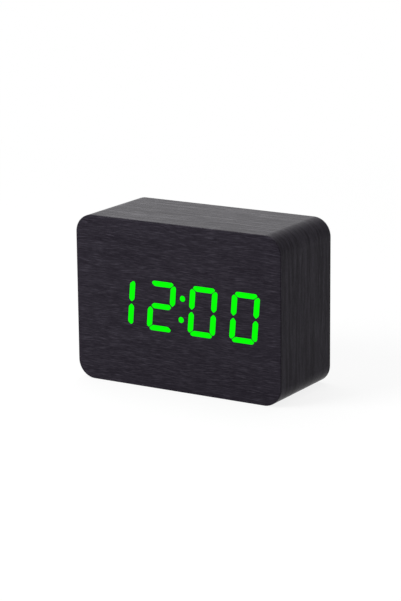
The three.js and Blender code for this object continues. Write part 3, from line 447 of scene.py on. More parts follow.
class NodeTree:
    """Short ways to add nodes to a material or a world."""

    def __init__(self, owner):
        owner.use_nodes = True
        self.nodes = owner.node_tree.nodes
        self.links = owner.node_tree.links

    def join(self, socket, value):
        """Links a node's output to a socket, or sets the socket's own value."""
        if isinstance(value, bpy.types.NodeSocket):
            self.links.new(value, socket)
        else:
            socket.default_value = value

    def add(self, kind, inputs, output=0, **settings):
        """A new node's output. Inputs are given by name or number."""
        node = self.nodes.new("ShaderNode" + kind)
        for key, value in settings.items():
            setattr(node, key, value)
        for key, value in inputs.items():
            self.join(node.inputs[key], value)
        return node.outputs[output]

    def math(self, operation, *values):
        """A Math node's result."""
        return self.add("Math", dict(enumerate(values)), operation=operation)

    def ranged(self, value, low, high, to_low=0.0, to_high=1.0):
        """A value moved from one range into another, and kept inside it."""
        return self.add("MapRange", {0: value, 1: low, 2: high, 3: to_low, 4: to_high})


class Finish(NodeTree):
    """A material with one Principled shader."""

    def __init__(self, name, base, roughness, **sockets):
        self.material = bpy.data.materials.new(name)
        super().__init__(self.material)
        self.shader = self.nodes["Principled BSDF"]
        self.paint("Base Color", (*base, 1))
        self.paint("Roughness", roughness)
        for socket, value in sockets.items():
            self.paint(socket.replace("_", " "), value)
        self.place = self.add("TexCoord", {}, "Object")

    def paint(self, socket, value):
        """Feeds one of the shader's sockets."""
        self.join(self.shader.inputs[socket], value)

    def axes(self):
        """X, Y and Z of the object coordinates."""
        parts = self.add("SeparateXYZ", {0: self.place})
        return parts.node.outputs[:]

    def noise(self, vector, size=1.0, detail=3.0, roughness=0.55):
        """Noise with marks of about that size, in the vector's own unit."""
        return self.add("TexNoise", {
            "Vector": vector, "Scale": 1 / size, "Detail": detail, "Roughness": roughness,
        })

    def stretched(self, along, across, long, wide):
        """Coordinates for marks that long along one axis and that wide across it, in mm."""
        return self.add("CombineXYZ", {
            0: self.math("MULTIPLY", along, 1 / (long * MM)),
            1: self.math("MULTIPLY", across, 1 / (wide * MM)),
        })

    def mixed(self, amount, first, second):
        """A colour between two."""
        return self.add("Mix", {0: amount, 6: (*first, 1), 7: (*second, 1)}, 2, data_type="RGBA")

    def bump(self, height, depth, strength=1.0):
        """Surface relief of that depth in mm."""
        relief = self.add("Bump", {"Strength": strength, "Distance": depth * MM, "Height": height})
        self.paint("Normal", relief)


def film(name, case, grain_axes, bands, streaks):
    """Black wood-grain film.

    grain_axes gives the coordinates along and across the grain, bands and streaks the length, the
    width and the weight of the broad and the fine marks.
    """
    *band_size, band_weight = bands
    *streak_size, streak_weight = streaks
    made = Finish(name, case.dark_grain, case.roughness, Specular_IOR_Level=case.gloss)
    along, across = grain_axes(made, *made.axes())
    sway = made.noise(made.stretched(along, across, *SWAY), detail=1.0)
    across = made.math("ADD", across, made.ranged(sway, 0, 1, -SWAY_REACH * MM, SWAY_REACH * MM))
    broad = made.noise(made.stretched(along, across, *band_size), detail=2.0)
    slim = made.noise(made.stretched(along, across, *streak_size), detail=3.0, roughness=0.6)
    flecks = made.noise(made.stretched(along, across, *FLECKS), detail=2.0)
    body = made.ranged(broad, *MOST, 0.1 - band_weight / 2, 0.1 + band_weight / 2)
    marks = made.ranged(slim, 0.5, 0.75, 0, streak_weight)
    fine = made.ranged(flecks, 0.35, 0.7, -0.1, 0.2)
    tone = made.math("ADD", made.math("ADD", body, fine), marks)
    made.paint("Base Color", made.mixed(tone, case.dark_grain, case.light_grain))
    made.paint("Roughness", made.ranged(tone, 0, 1, case.roughness + 0.04, case.roughness - 0.1))
    height = made.math("ADD", slim, made.math("MULTIPLY", flecks, 0.5))
    made.bump(height, depth=0.05, strength=0.35)
    return made.material


def over_front(made, x, y, z):
    """Grain from left to right on the front."""
    return x, z


def round_sides(made, x, y, z):
    """Grain that follows the strip over the top and down the sides."""
    down = made.math("SUBTRACT", HEIGHT * MM, z)
    return made.math("ADD", x, made.math("MULTIPLY", made.math("SIGN", x), down)), y


def over_base(made, x, y, z):
    """Grain from left to right on the underside."""
    return x, y


def moulded(name, base, roughness, texture=0.25, depth=0.03):
    """Moulded plastic with a fine sparked surface."""
    made = Finish(name, base, roughness)
    grain = made.noise(made.place, size=texture * MM, detail=2.0)
    patches = made.noise(made.place, size=14 * MM, detail=2.0)
    tone = made.math("ADD", made.ranged(grain, *MOST, 0, 0.6), made.ranged(patches, *MOST, 0, 0.4))
    pale = [value * 1.35 + 0.001 for value in base]
    made.paint("Base Color", made.mixed(tone, base, pale))
    made.paint("Roughness", made.ranged(patches, *MOST, roughness - 0.06, roughness + 0.06))
    made.bump(grain, depth, strength=0.5)
    return made.material


def plated(name, base, roughness):
    """Plated metal with fine lines and small stains."""
    made = Finish(name, base, roughness, Metallic=1.0)
    x, y, z = made.axes()
    lines = made.noise(made.stretched(y, made.math("ADD", x, z), long=3, wide=0.1), detail=2.0)
    stains = made.noise(made.place, size=2.5 * MM)
    dull = [value * 0.78 for value in base]
    made.paint("Base Color", made.mixed(made.ranged(stains, 0.4, 0.75), base, dull))
    made.paint("Roughness", made.ranged(lines, *MOST, roughness - 0.08, roughness + 0.1))
    return made.material


def fibreboard(base):
    """Dense fibreboard stained black."""
    made = Finish("fibreboard", base, 0.85)
    fibres = made.noise(made.place, size=0.5 * MM, detail=5.0, roughness=0.7)
    clumps = made.noise(made.place, size=5 * MM, detail=2.0)
    tone = made.math("ADD", made.ranged(fibres, 0.35, 0.75, 0, 0.7), made.ranged(clumps, *MOST, 0, 0.3))
    pale = [value * 2.2 for value in base]
    made.paint("Base Color", made.mixed(tone, base, pale))
    made.bump(fibres, depth=0.08, strength=0.5)
    return made.material


def lit_film(light):
    """Light that comes through the film. The grain shows faintly in it."""
    made = Finish("lit_film", (0.0, 0.02, 0.0), 0.45, Specular_IOR_Level=0.025, Emission_Strength=1.0)
    x, _, z = made.axes()
    streaks = made.noise(made.stretched(x, z, long=7, wide=0.42))
    veiled = [value * 0.86 for value in light]
    made.paint("Emission Color", made.mixed(made.ranged(streaks, 0.6, 0.8), light, veiled))
    return made.material


def solder_mask():
    """Green circuit board with tracks under the lacquer."""
    bare = (0.006, 0.06, 0.02)
    copper_below = (0.02, 0.14, 0.05)
    cells_per_metre = 260
    made = Finish("solder_mask", bare, 0.35)
    cells = {"Vector": made.place, "Scale": cells_per_metre}
    distance = made.add("TexVoronoi", cells, feature="DISTANCE_TO_EDGE")
    track = made.ranged(distance, 0.04, 0.07, 1, 0)
    made.paint("Base Color", made.mixed(track, bare, copper_below))
    made.bump(track, depth=0.03, strength=0.6)
    return made.material


def striped(name, pitch, first, second, edge, metal=False):
    """Side-by-side strips along X, such as a flat cable's wires or a connector's contacts."""
    made = Finish(name, first, 0.4)
    x = made.axes()[0]
    wave = made.math("SINE", made.math("MULTIPLY", x, 2 * pi / (pitch * MM)))
    strip = made.ranged(wave, -edge, edge)
    made.paint("Base Color", made.mixed(strip, first, second))
    if metal:
        made.paint("Metallic", strip)
    made.bump(strip, depth=0.08, strength=0.6)
    return made.material


def lacquered(name, base):
    """Lacquered metal jacket with fine scuffs round it."""
    made = Finish(name, base, 0.3, Coat_Weight=0.4)
    x, _, z = made.axes()
    scuffs = made.noise(made.stretched(z, x, long=5, wide=0.35), detail=3.0)
    pale = [value * 1.15 + 0.004 for value in base]
    made.paint("Base Color", made.mixed(made.ranged(scuffs, 0.6, 0.85), base, pale))
    made.paint("Roughness", made.ranged(scuffs, 0.5, 0.85, 0.28, 0.36))
    return made.material


# Pieces

class CLOCK_OT_film(bpy.types.Operator):
    """Lays the wood-grain film over the front, round the sides and on the underside"""

    bl_idname = "clock.film"
    bl_label = "Wood-grain film"

    def execute(self, context):
        case = context.scene.clock_case
        self.front(case)
        self.wrap(case)
        self.base(case)
        return {"FINISHED"}

    def front(self, case):
        low, high = box_mm("front_veneer")
        bm = bmesh.new()
        back = rounded_face(bm, box_corners(low, high), high.y, mm(case.corner), 24)
        face = extruded(bm, [back], low.y + PROUD - high.y)[0]
        rear_rim = back.edges[:]
        soften(bm, face.edges[:], mm(case.front_edge), 4)
        soften(bm, [edge for edge in rear_rim if edge.is_valid], mm(case.film_edge), 2)
        grain = film("front_grain", case, over_front, FRONT_BANDS, FRONT_STREAKS)
        piece("front_film", bm, [grain], "front_veneer")

    def wrap(self, case):
        low, high = box_mm("wrap_veneer")
        seam_x = box_mm("base_veneer")[1].x + GLUE
        bm = bmesh.new()
        outline = ring(bm, box_corners(low, high), low.y, mm(case.corner), 24)
        underside = [edge for edge in outline if all(vert.co.z < NEAR for vert in edge.verts)]
        ends = list(underside[0].verts)
        bmesh.ops.delete(bm, geom=underside, context="EDGES")
        for end in ends:
            side = 1 if end.co.x > 0 else -1
            seam = bmesh.ops.extrude_vert_indiv(bm, verts=[end])["verts"]
            bmesh.ops.translate(bm, vec=(side * seam_x - end.co.x, 0, 0), verts=seam)
        raised(bm, bm.edges[:], high.y)
        bmesh.ops.recalc_face_normals(bm, faces=bm.faces)
        bmesh.ops.solidify(bm, geom=bm.faces[:], thickness=mm(case.film))
        soften(bm, rims(bm, low.y) + rims(bm, high.y), mm(case.film_edge), 2)
        grain = film("wrap_grain", case, round_sides, SIDE_BANDS, SIDE_STREAKS)
        piece("wrap_film", bm, [grain], "wrap_veneer")

    def base(self, case):
        bm = bmesh.new()
        soft_box(bm, *box_mm("base_veneer"), mm(case.film_edge))
        grain = film("base_grain", case, over_base, SIDE_BANDS, SIDE_STREAKS)
        piece("base_film", bm, [grain], "base_veneer")


class CLOCK_OT_block(bpy.types.Operator):
    """Models the hollowed wooden block with the rebate for the rear cover"""

    bl_idname = "clock.block"
    bl_label = "Wooden block"

    WINDOW_GAP = 0.3  # around the reflector
    BOSS = 3.0  # radius of the bosses that carry the display board

    def execute(self, context):
        case = context.scene.clock_case
        rear = context.scene.clock_rear
        low, high = box_mm("case_body")
        film_and_glue = CAD_BOX[1].x / MM - high.x
        rim = mm(case.rim) - film_and_glue
        corner = mm(case.corner) - film_and_glue
        ledge_y = REAR_Y - mm(rear.recess + rear.cover) - GLUE
        board_y = low.y + mm(case.front_board)
        inner_x = high.x - rim
        inner_z = (low.z + rim, high.z - rim)
        bm = bmesh.new()
        outline = ring(bm, box_corners(low, high), low.y, corner, 16)
        window = self.window(bm, low.y)
        filled(bm, outline + window)
        rebate = ring(bm, corners((-inner_x, inner_x), inner_z), high.y, mm(case.corner - case.rim))
        step(bm, outline, high.y, rebate)
        hollow = ring(bm, self.hollow(case, inner_x, inner_z), ledge_y)
        step(bm, rebate, ledge_y, hollow)
        step(bm, hollow, board_y, raised(bm, window, board_y) + self.bosses(bm, board_y))
        soften(bm, rims(bm, high.y), mm(case.film_edge), 2)
        piece("wooden_block", bm, [fibreboard(case.wood)], "case_body")
        return {"FINISHED"}

    def window(self, bm, y):
        low, high = box_mm("display_reflector")
        gap = self.WINDOW_GAP
        return ring(bm, corners((low.x - gap, high.x + gap), (low.z - gap, high.z + gap)), y)

    def hollow(self, case, inner_x, inner_z):
        """Outline of the hollow, with a square of wood left in each corner."""
        ledge = mm(case.ledge)
        post = mm(case.post)
        x = inner_x - ledge
        bottom = inner_z[0] + ledge
        top = inner_z[1] - ledge
        right = [
            (x - post, bottom), (x - post, bottom + post), (x, bottom + post),
            (x, top - post), (x - post, top - post), (x - post, top),
        ]
        return right + [(-x, z) for x, z in reversed(right)]

    def bosses(self, bm, board_y):
        """Bosses that carry the display board. Gives their outlines on the wood."""
        end_y = box_mm("display_board")[0].y - GLUE
        tip_y = box_mm("display_screw_1")[0].y - TIP_GAP
        return screw_posts(bm, "display_screw", self.BOSS, board_y, end_y, tip_y)


class CLOCK_OT_digits(bpy.types.Operator):
    """Lights the segments of the time, and the colon, in the front film"""

    bl_idname = "clock.digits"
    bl_label = "Lit digits"

    # Lit segments of the figures 0 to 9, lettered round from the top, with g in the middle
    LIT = ("abcdef", "bc", "abdeg", "abcdg", "bcfg", "acdfg", "acdefg", "abc", "abcdefg", "abcdfg")
    SUNK = 0.2  # depth of the light in the film

    def execute(self, context):
        display = context.scene.clock_display
        finishes = [lit_film(display.light)]
        figures = [int(letter) for letter in display.time if letter.isdigit()]
        if len(figures) != 4:
            raise ValueError("the time needs four digits")
        outlines = self.outlines(display)
        colon = middle_mm("colon_lens")
        for place, figure in enumerate(figures, 1):
            node = f"digit_{place}_lens"
            middle = middle_mm(node)
            middle.x = colon.x + (middle.x - colon.x) * display.spread
            bm = bmesh.new()
            for letter in self.LIT[figure]:
                points = [self.leaning(display, middle, x, z) for x, z in outlines[letter]]
                face = rounded_face(bm, points, FRONT_Y + self.SUNK, mm(display.rounding), 5)
                extruded(bm, [face], -self.SUNK)
            piece(f"digit_{place}_light", bm, finishes, node, hides=False)
        bm = bmesh.new()
        for sign in (-1, 1):
            half = sign * mm(display.dot_spacing) / 2
            x, z = self.leaning(display, colon, 0, half)
            dot = round_ring(bm, mm(display.dot) / 2, x, z, FRONT_Y + self.SUNK)
            extruded(bm, filled(bm, dot), -self.SUNK)
        piece("colon_light", bm, finishes, "colon_lens", hides=False)
        return {"FINISHED"}

    def leaning(self, display, middle, x, z):
        """Place on the front of a point about the middle of its digit."""
        return middle.x + x + z * tan(display.slant), middle.z + mm(display.lift) + z

    def outlines(self, display):
        """Corner points of each segment about the middle of its digit, before it leans over."""
        right = mm(display.digit_width) / 2
        top = mm(display.digit_height) / 2
        upright = mm(display.upright)
        level = mm(display.level)
        tip = mm(display.gap) / 2
        slit = mm(display.slit)
        cut = mm(display.cut)
        upper = [
            (right - cut, top),
            (right - cut / 2 - slit, top - cut / 2),
            (right - upright - slit, top - level),
        ]
        upper += [(-x, z) for x, z in reversed(upper)]
        side = [
            (right, top - cut), (right, upright / 2 + tip), (right - upright / 2, tip),
            (right - upright, upright / 2 + tip), (right - upright, top - level - slit),
            (right - cut / 2, top - cut / 2 - slit),
        ]
        end = right - upright / 2 - tip
        middle = [(end, 0), (end - level / 2, -level / 2), (level / 2 - end, -level / 2)]
        middle += [(-x, -z) for x, z in middle]
        ways = {
            "a": (upper, 1, 1), "b": (side, 1, 1), "c": (side, 1, -1), "d": (upper, 1, -1),
            "e": (side, -1, -1), "f": (side, -1, 1), "g": (middle, 1, 1),
        }
        return {
            letter: [(x * sign_x, z * sign_z) for x, z in points]
            for letter, (points, sign_x, sign_z) in ways.items()
        }


class CLOCK_OT_rear_cover(bpy.types.Operator):
    """Models the rear cover with its openings, counterbores, posts and battery well"""

    bl_idname = "clock.rear_cover"
    bl_label = "Rear cover"

    # Round shapes are given by their radius
    BUTTON_HOLE = 3.75
    PLUG = (11.6, 6.8)  # width and height of the opening around the power socket
    PLUG_CORNER = 1.9
    SOUND_HOLE = 0.7
    SOUND_RING = 2.6  # circle of holes around the one in front of the sounder
    BORE = 2.8  # for the head of a cover screw
    BORE_DEPTH = 1.2
    SHANK_HOLE = 1.4
    POST = 2.4  # carries the key board
    NOTCH = 6.0  # for a fingertip above the battery door
    NOTCH_DEPTH = 1.2
    WALL = 1.5  # of the battery well
    STEP = 0.05  # the well's walls are this much slimmer on each side where slots part them
    LIP = 0.1  # of the door's ledge, in front of the hooks and the latch
    CELL_GAP = 0.4

    def execute(self, context):
        rear = context.scene.clock_rear
        outer_y = REAR_Y - mm(rear.recess)
        inner_y = outer_y - mm(rear.cover)
        low, high = box_mm("rear_cover")
        bm = bmesh.new()
        rim = ring(bm, box_corners(low, high), outer_y, mm(rear.corner), 16)
        holes = self.holes(bm, outer_y)
        bores = [self.bore(bm, number, self.BORE, outer_y) for number in range(1, 5)]
        pocket = ring(bm, self.pocket_outline(), outer_y)
        filled(bm, rim + sum(holes + bores, []) + pocket)
        inside = raised(bm, rim, inner_y)
        for hole in holes:
            inside += raised(bm, hole, inner_y)
        for number, bore in enumerate(bores, 1):
            seat_y = outer_y - self.BORE_DEPTH
            shank = step(bm, bore, seat_y, self.bore(bm, number, self.SHANK_HOLE, seat_y))
            inside += raised(bm, shank, inner_y)
        inside += self.posts(bm, inner_y)
        inside += self.well(bm, pocket, outer_y, inner_y)
        filled(bm, inside)
        soften(bm, rims(bm, outer_y), mm(rear.edge))
        plastic = moulded("cover_plastic", rear.plastic, 0.5)
        piece("cover_shell", bm, [plastic], "rear_cover", weigh="CORNER_ANGLE")
        return {"FINISHED"}

    def holes(self, bm, y):
        """Outlines of the openings that go straight through."""
        keys = [middle_mm(f"{key}_button") for key in ("set", "up", "down")]
        outlines = [round_ring(bm, self.BUTTON_HOLE, key.x, key.z, y) for key in keys]
        socket = middle_mm("power_socket")
        plug = corners(span(socket.x, self.PLUG[0]), span(socket.z, self.PLUG[1]))
        outlines.append(ring(bm, plug, y, self.PLUG_CORNER))
        sounder = middle_mm("alarm_sounder")
        microphone = middle_mm("microphone")
        small = [(sounder.x, sounder.z), (microphone.x, microphone.z)]
        small += arc(self.SOUND_RING, sounder.x, sounder.z, 0, 300, 5)
        return outlines + [round_ring(bm, self.SOUND_HOLE, x, z, y, 24) for x, z in small]

    def bore(self, bm, number, radius, y):
        """Circle about a cover screw."""
        screw = middle_mm(f"cover_screw_{number}")
        return round_ring(bm, radius, screw.x, screw.z, y, 48)

    def posts(self, bm, inner_y):
        """Posts that carry the key board. Gives their outlines on the cover."""
        end_y = box_mm("key_board")[1].y + GLUE
        tip_y = box_mm("key_screw_1")[1].y + TIP_GAP
        return screw_posts(bm, "key_screw", self.POST, inner_y, end_y, tip_y)

    def pocket_span(self):
        """Half the width, the lower edge and the upper edge of the battery door's pocket."""
        door = box_mm("battery_door")[1]
        return door.x + DOOR_GAP, hinge_line().z - DOOR_GAP, door.z - LATCH_CATCH + DOOR_GAP

    def pocket_outline(self):
        """The battery door's pocket with the finger notch at its top."""
        x, low, high = self.pocket_span()
        start = degrees(asin(DOOR_GAP / self.NOTCH))
        notch = arc(self.NOTCH, 0, high - DOOR_GAP, start, 180 - start, 32)
        return [(-x, low), (x, low), (x, high)] + notch + [(-x, high)]

    def well_span(self):
        """Half the length, the lower edge and the upper edge of the well."""
        x = box_mm("right_bridge")[1].x + GLUE
        return x, box_mm("battery_3")[0].z - self.CELL_GAP, box_mm("battery_1")[1].z + self.CELL_GAP

    def mouth(self):
        """Opening in the door's ledge, with room for the hooks and the latch."""
        x, low, high = self.well_span()
        _, pocket_low, pocket_high = self.pocket_span()
        points = [(-x, low)]
        for middle in (-HOOK_X, HOOK_X):
            left, right = span(middle, HOOK_WIDTH + 4 * DOOR_GAP)
            lip = pocket_low + self.LIP
            points += [(left, low), (left, lip), (right, lip), (right, low)]
        left, right = span(0, LATCH_WIDTH + 4 * DOOR_GAP)
        lip = pocket_high - self.LIP
        points += [(x, low), (x, high), (right, high), (right, lip), (left, lip), (left, high)]
        return points + [(-x, high)]

    def walls(self):
        """Outlines of the well's walls between the slots for the hooks and the latch."""
        x, low, high = self.well_span()
        thin, thick = self.STEP, self.WALL - self.STEP
        latch = LATCH_WIDTH / 2 + 2 * DOOR_GAP + self.STEP
        hook = HOOK_WIDTH / 2 + 2 * DOOR_GAP + self.STEP
        left = [
            (-latch, high + thin), (-latch, high + thick), (-x - thick, high + thick),
            (-x - thick, low - thick), (-HOOK_X - hook, low - thick), (-HOOK_X - hook, low - thin),
            (-x - thin, low - thin), (-x - thin, high + thin),
        ]
        right = [(-x, z) for x, z in left]
        middle = corners((hook - HOOK_X, HOOK_X - hook), (low - thick, low - thin))
        return [left, middle, right]

    def well(self, bm, pocket, outer_y, inner_y):
        """Pocket, notch and well. Gives the mouth's and the walls' outlines on the cover's inside."""
        ledge_y = box_mm("battery_door")[1].y - DOOR_THICKNESS - GLUE
        slot_y = outer_y - hypot(DOOR_THICKNESS + HOOK_DROP, HOOK_REACH) - DOOR_GAP
        floor_y = box_mm("battery_1")[0].y - self.CELL_GAP
        x, low, high = self.well_span()
        pocket_high = self.pocket_span()[2]
        edges = self.notch_floor(bm, raised(bm, pocket, outer_y - self.NOTCH_DEPTH), pocket_high)
        mouth = step(bm, edges, ledge_y, ring(bm, self.mouth(), ledge_y))
        inside = raised(bm, mouth, inner_y)
        wall = self.WALL
        tub = ring(bm, corners((-x, x), (low, high)), slot_y)
        shell = ring(bm, corners((-x - wall, x + wall), (low - wall, high + wall)), slot_y)
        tops = tub + shell
        for outline in self.walls():
            foot = ring(bm, outline, inner_y)
            inside += foot
            tops += raised(bm, foot, slot_y)
        filled(bm, tops)
        step(bm, tub, floor_y)
        step(bm, shell, floor_y - wall)
        return inside

    def notch_floor(self, bm, edges, pocket_high):
        """Closes the notch's floor and gives the outline of the pocket below it."""
        sill_z = pocket_high + NEAR
        curve = [edge for edge in edges if any(vert.co.z > sill_z for vert in edge.verts)]
        ends = [vert for edge in curve for vert in edge.verts if vert.co.z < sill_z]
        sill = bm.edges.new(ends)
        filled(bm, curve + [sill])
        return [edge for edge in edges if edge not in curve] + [sill]


class CLOCK_OT_battery_door(bpy.types.Operator):
    """Models the battery door with its hooks, latch and grip ridges"""

    bl_idname = "clock.battery_door"
    bl_label = "Battery door"

    CORNER = 0.4  # of the door and of its ridges
    LEG_RELIEF = 0.3  # a hook's leg is this much slimmer than its foot, on three sides
    FOOT_EDGE = 0.15
    RIDGE_WIDTH = 15.0
    RIDGE_HEIGHT = 0.9
    RIDGE_PROUD = 0.35
    RIDGE_EDGE = 0.25
    RIDGE_PITCH = 1.8
    RIDGE_FROM_TOP = 5.0  # first ridge below the door's upper edge

    def execute(self, context):
        rear = context.scene.clock_rear
        hinge = hinge_line()
        high = box_mm("battery_door")[1]
        top = high.z - LATCH_CATCH
        inner_y = hinge.y - DOOR_THICKNESS
        bm = bmesh.new()
        inside = ring(bm, corners((-high.x, high.x), (hinge.z, top)), inner_y, self.CORNER, 4)
        outside = raised(bm, inside, hinge.y)
        leg_z = hinge.z + DOOR_GAP
        tip_z = hinge.z - HOOK_REACH
        for x in (-HOOK_X, HOOK_X):
            inside += self.hook(bm, span(x, HOOK_WIDTH), leg_z, tip_z, inner_y)
        inside += self.hook(bm, span(0, LATCH_WIDTH), top - DOOR_GAP, top + LATCH_CATCH, inner_y)
        filled(bm, inside)
        ridges = [self.ridge(bm, top, number, hinge.y) for number in range(rear.ridges)]
        filled(bm, outside + sum(ridges, []))
        soften(bm, outside, mm(rear.edge))
        soften(bm, rims(bm, hinge.y + self.RIDGE_PROUD), self.RIDGE_EDGE)
        soften(bm, rims(bm, inner_y - HOOK_DROP), self.FOOT_EDGE, 2)
        plastic = moulded("door_plastic", rear.plastic, 0.5)
        piece("battery_lid_panel", bm, [plastic], "battery_door", weigh="CORNER_ANGLE")
        return {"FINISHED"}

    def hook(self, bm, x_span, leg_z, tip_z, inner_y):
        """A leg with a foot that reaches out to tip_z. Gives the leg's outline on the door."""
        back = 1 if tip_z < leg_z else -1
        relief = self.LEG_RELIEF
        foot_y = inner_y - HOOK_DROP + HOOK_THICKNESS
        leg_x = (x_span[0] + relief, x_span[1] - relief)
        leg_end = leg_z + back * (HOOK_THICKNESS - relief)
        leg = ring(bm, corners(leg_x, sorted((leg_z, leg_end))), inner_y, self.FOOT_EDGE, 3)
        foot_z = sorted((tip_z, leg_z + back * HOOK_THICKNESS))
        foot = ring(bm, corners(x_span, foot_z), foot_y, self.FOOT_EDGE, 3)
        step(bm, step(bm, leg, foot_y, foot), inner_y - HOOK_DROP)
        soften(bm, foot, self.FOOT_EDGE, 2)
        return leg

    def ridge(self, bm, top, number, y):
        """A grip ridge. Gives its outline on the door."""
        z = top - self.RIDGE_FROM_TOP - number * self.RIDGE_PITCH
        points = corners(span(0, self.RIDGE_WIDTH), span(z, self.RIDGE_HEIGHT))
        foot = ring(bm, points, y, self.CORNER, 4)
        step(bm, foot, y + self.RIDGE_PROUD)
        return foot


class CLOCK_OT_buttons(bpy.types.Operator):
    """Models the three push buttons with a dot and two arrows raised on them"""

    bl_idname = "clock.buttons"
    bl_label = "Buttons"

    # Round shapes are given by their radius
    BODY = 3.5
    EDGE = 0.5
    FLANGE = 4.45
    FLANGE_Y = (16.05, 17.05)  # the flange's two faces
    STEM = 1.5
    FLOOR = 1.8  # flat middle of the dish
    SLOPE_STEPS = 8  # from the dish's edge to its floor
    DOT = 0.975
    ARROW = 1.3
    ARROW_CORNER = 0.2
    MARK_SUNK = 0.05  # below the button's edge

    def execute(self, context):
        rear = context.scene.clock_rear
        finishes = [
            moulded("key_plastic", rear.keys, 0.42, texture=0.4, depth=0.01),
            moulded("key_mark", rear.marks, 0.5, texture=0.4, depth=0.01),
        ]
        for key in ("set", "up", "down"):
            low, high = box_mm(f"{key}_button")
            middle = (low + high) / 2
            bm = bmesh.new()
            profile = self.profile(low.y, high.y, mm(rear.dish))
            turned(bm, profile, Matrix.Translation((middle.x, 0, middle.z)))
            floor = [edge for edge in bm.edges if edge.is_boundary]
            mark = self.mark(bm, key, middle, high.y - mm(rear.dish))
            filled(bm, floor + mark)
            for face in filled(bm, raised(bm, mark, high.y - self.MARK_SUNK)):
                face.material_index = 1
            piece(f"{key}_key_cap", bm, finishes, f"{key}_button")
        return {"FINISHED"}

    def profile(self, stem_y, outer_y, dish):
        """Stem, flange and a body with a rounded edge and the slope of a dish."""
        flat = self.BODY - self.EDGE
        front_y, rear_y = self.FLANGE_Y
        profile = [
            (0, stem_y), (self.STEM, stem_y), (self.STEM, front_y), (self.FLANGE, front_y),
            (self.FLANGE, rear_y), (self.BODY, rear_y),
            *arc(self.EDGE, flat, outer_y - self.EDGE, 0, 90, 6),
        ]
        for i in range(1, self.SLOPE_STEPS + 1):
            up = 1 - i / self.SLOPE_STEPS
            profile.append((self.FLOOR + (flat - self.FLOOR) * up, outer_y - dish * (1 - up ** 2)))
        return profile

    def mark(self, bm, key, middle, y):
        """Outline of a dot, or of an arrow that points up or down."""
        if key == "set":
            return round_ring(bm, self.DOT, middle.x, middle.z, y, 32)
        turn = 90 if key == "up" else 270
        points = arc(self.ARROW, middle.x, middle.z, turn, turn + 240, 2)
        return ring(bm, points, y, self.ARROW_CORNER, 4)


class CLOCK_OT_cover_screws(bpy.types.Operator):
    """Models the cover's cross-head screws"""

    bl_idname = "clock.cover_screws"
    bl_label = "Cover screws"

    # Round shapes are given by their radius
    HEAD = 2.4
    SHANK = 1.25
    HEAD_HEIGHT = 1.1
    FLAT = 1.9  # of the head, inside its rounding
    CROSS = (1.4, 0.3)  # length and half the width of an arm
    CROSS_DEPTH = 0.7

    def execute(self, context):
        finishes = [plated("zinc", (0.42, 0.43, 0.44), 0.34)]
        for number in range(1, 5):
            node = f"cover_screw_{number}"
            low, high = box_mm(node)
            x, _, z = (low + high) / 2
            seat_y = high.y - self.HEAD_HEIGHT
            round_over = self.HEAD - self.FLAT
            bm = bmesh.new()
            profile = [
                (0, low.y), (self.SHANK, low.y + self.SHANK), (self.SHANK, seat_y), (self.HEAD, seat_y),
                *arc(round_over, self.FLAT, high.y - round_over, 0, 90, 6),
            ]
            turned(bm, profile, Matrix.Translation((x, 0, z)), 48)
            head = [edge for edge in bm.edges if edge.is_boundary]
            cross = ring(bm, self.cross(x, z), high.y)
            filled(bm, head + cross)
            step(bm, cross, high.y - self.CROSS_DEPTH)
            piece(f"cross_screw_{number}", bm, finishes, node)
        return {"FINISHED"}

    def cross(self, x, z):
        """Outline of the cross recess."""
        arm, half = self.CROSS
        quarter = [(arm, -half), (arm, half), (half, half)]
        points = quarter + [(-b, a) for a, b in quarter]
        points += [(-a, -b) for a, b in points]
        return [(x + a, z + b) for a, b in points]


class CLOCK_OT_power_socket(bpy.types.Operator):
    """Models the power socket's shell and its tongue"""

    bl_idname = "clock.power_socket"
    bl_label = "Power socket"

    WALL = 0.4
    CORNER = 1.0
    EDGE = 0.12
    CONTACT_PITCH = 0.9
    RESIN = (0.006, 0.006, 0.007)
    GILT = (0.65, 0.42, 0.12)

    def execute(self, context):
        low, high = box_mm("power_socket")
        wall = self.WALL
        bm = bmesh.new()
        outer = ring(bm, box_corners(low, high), high.y, self.CORNER)
        mouth = corners((low.x + wall, high.x - wall), (low.z + wall, high.z - wall))
        inner = ring(bm, mouth, high.y, self.CORNER - wall)
        filled(bm, outer + inner)
        step(bm, outer, low.y)
        step(bm, inner, low.y + wall)
        soften(bm, rims(bm, high.y), self.EDGE, 2)
        piece("socket_shell", bm, [plated("tinned_shell", (0.55, 0.55, 0.54), 0.28)], "power_socket")
        bm = bmesh.new()
        soft_box(bm, *box_mm("socket_tongue"), self.EDGE)
        contacts = striped(
            "tongue_contacts", self.CONTACT_PITCH, self.RESIN, self.GILT, edge=0.1, metal=True,
        )
        piece("contact_tongue", bm, [contacts], "socket_tongue")
        return {"FINISHED"}


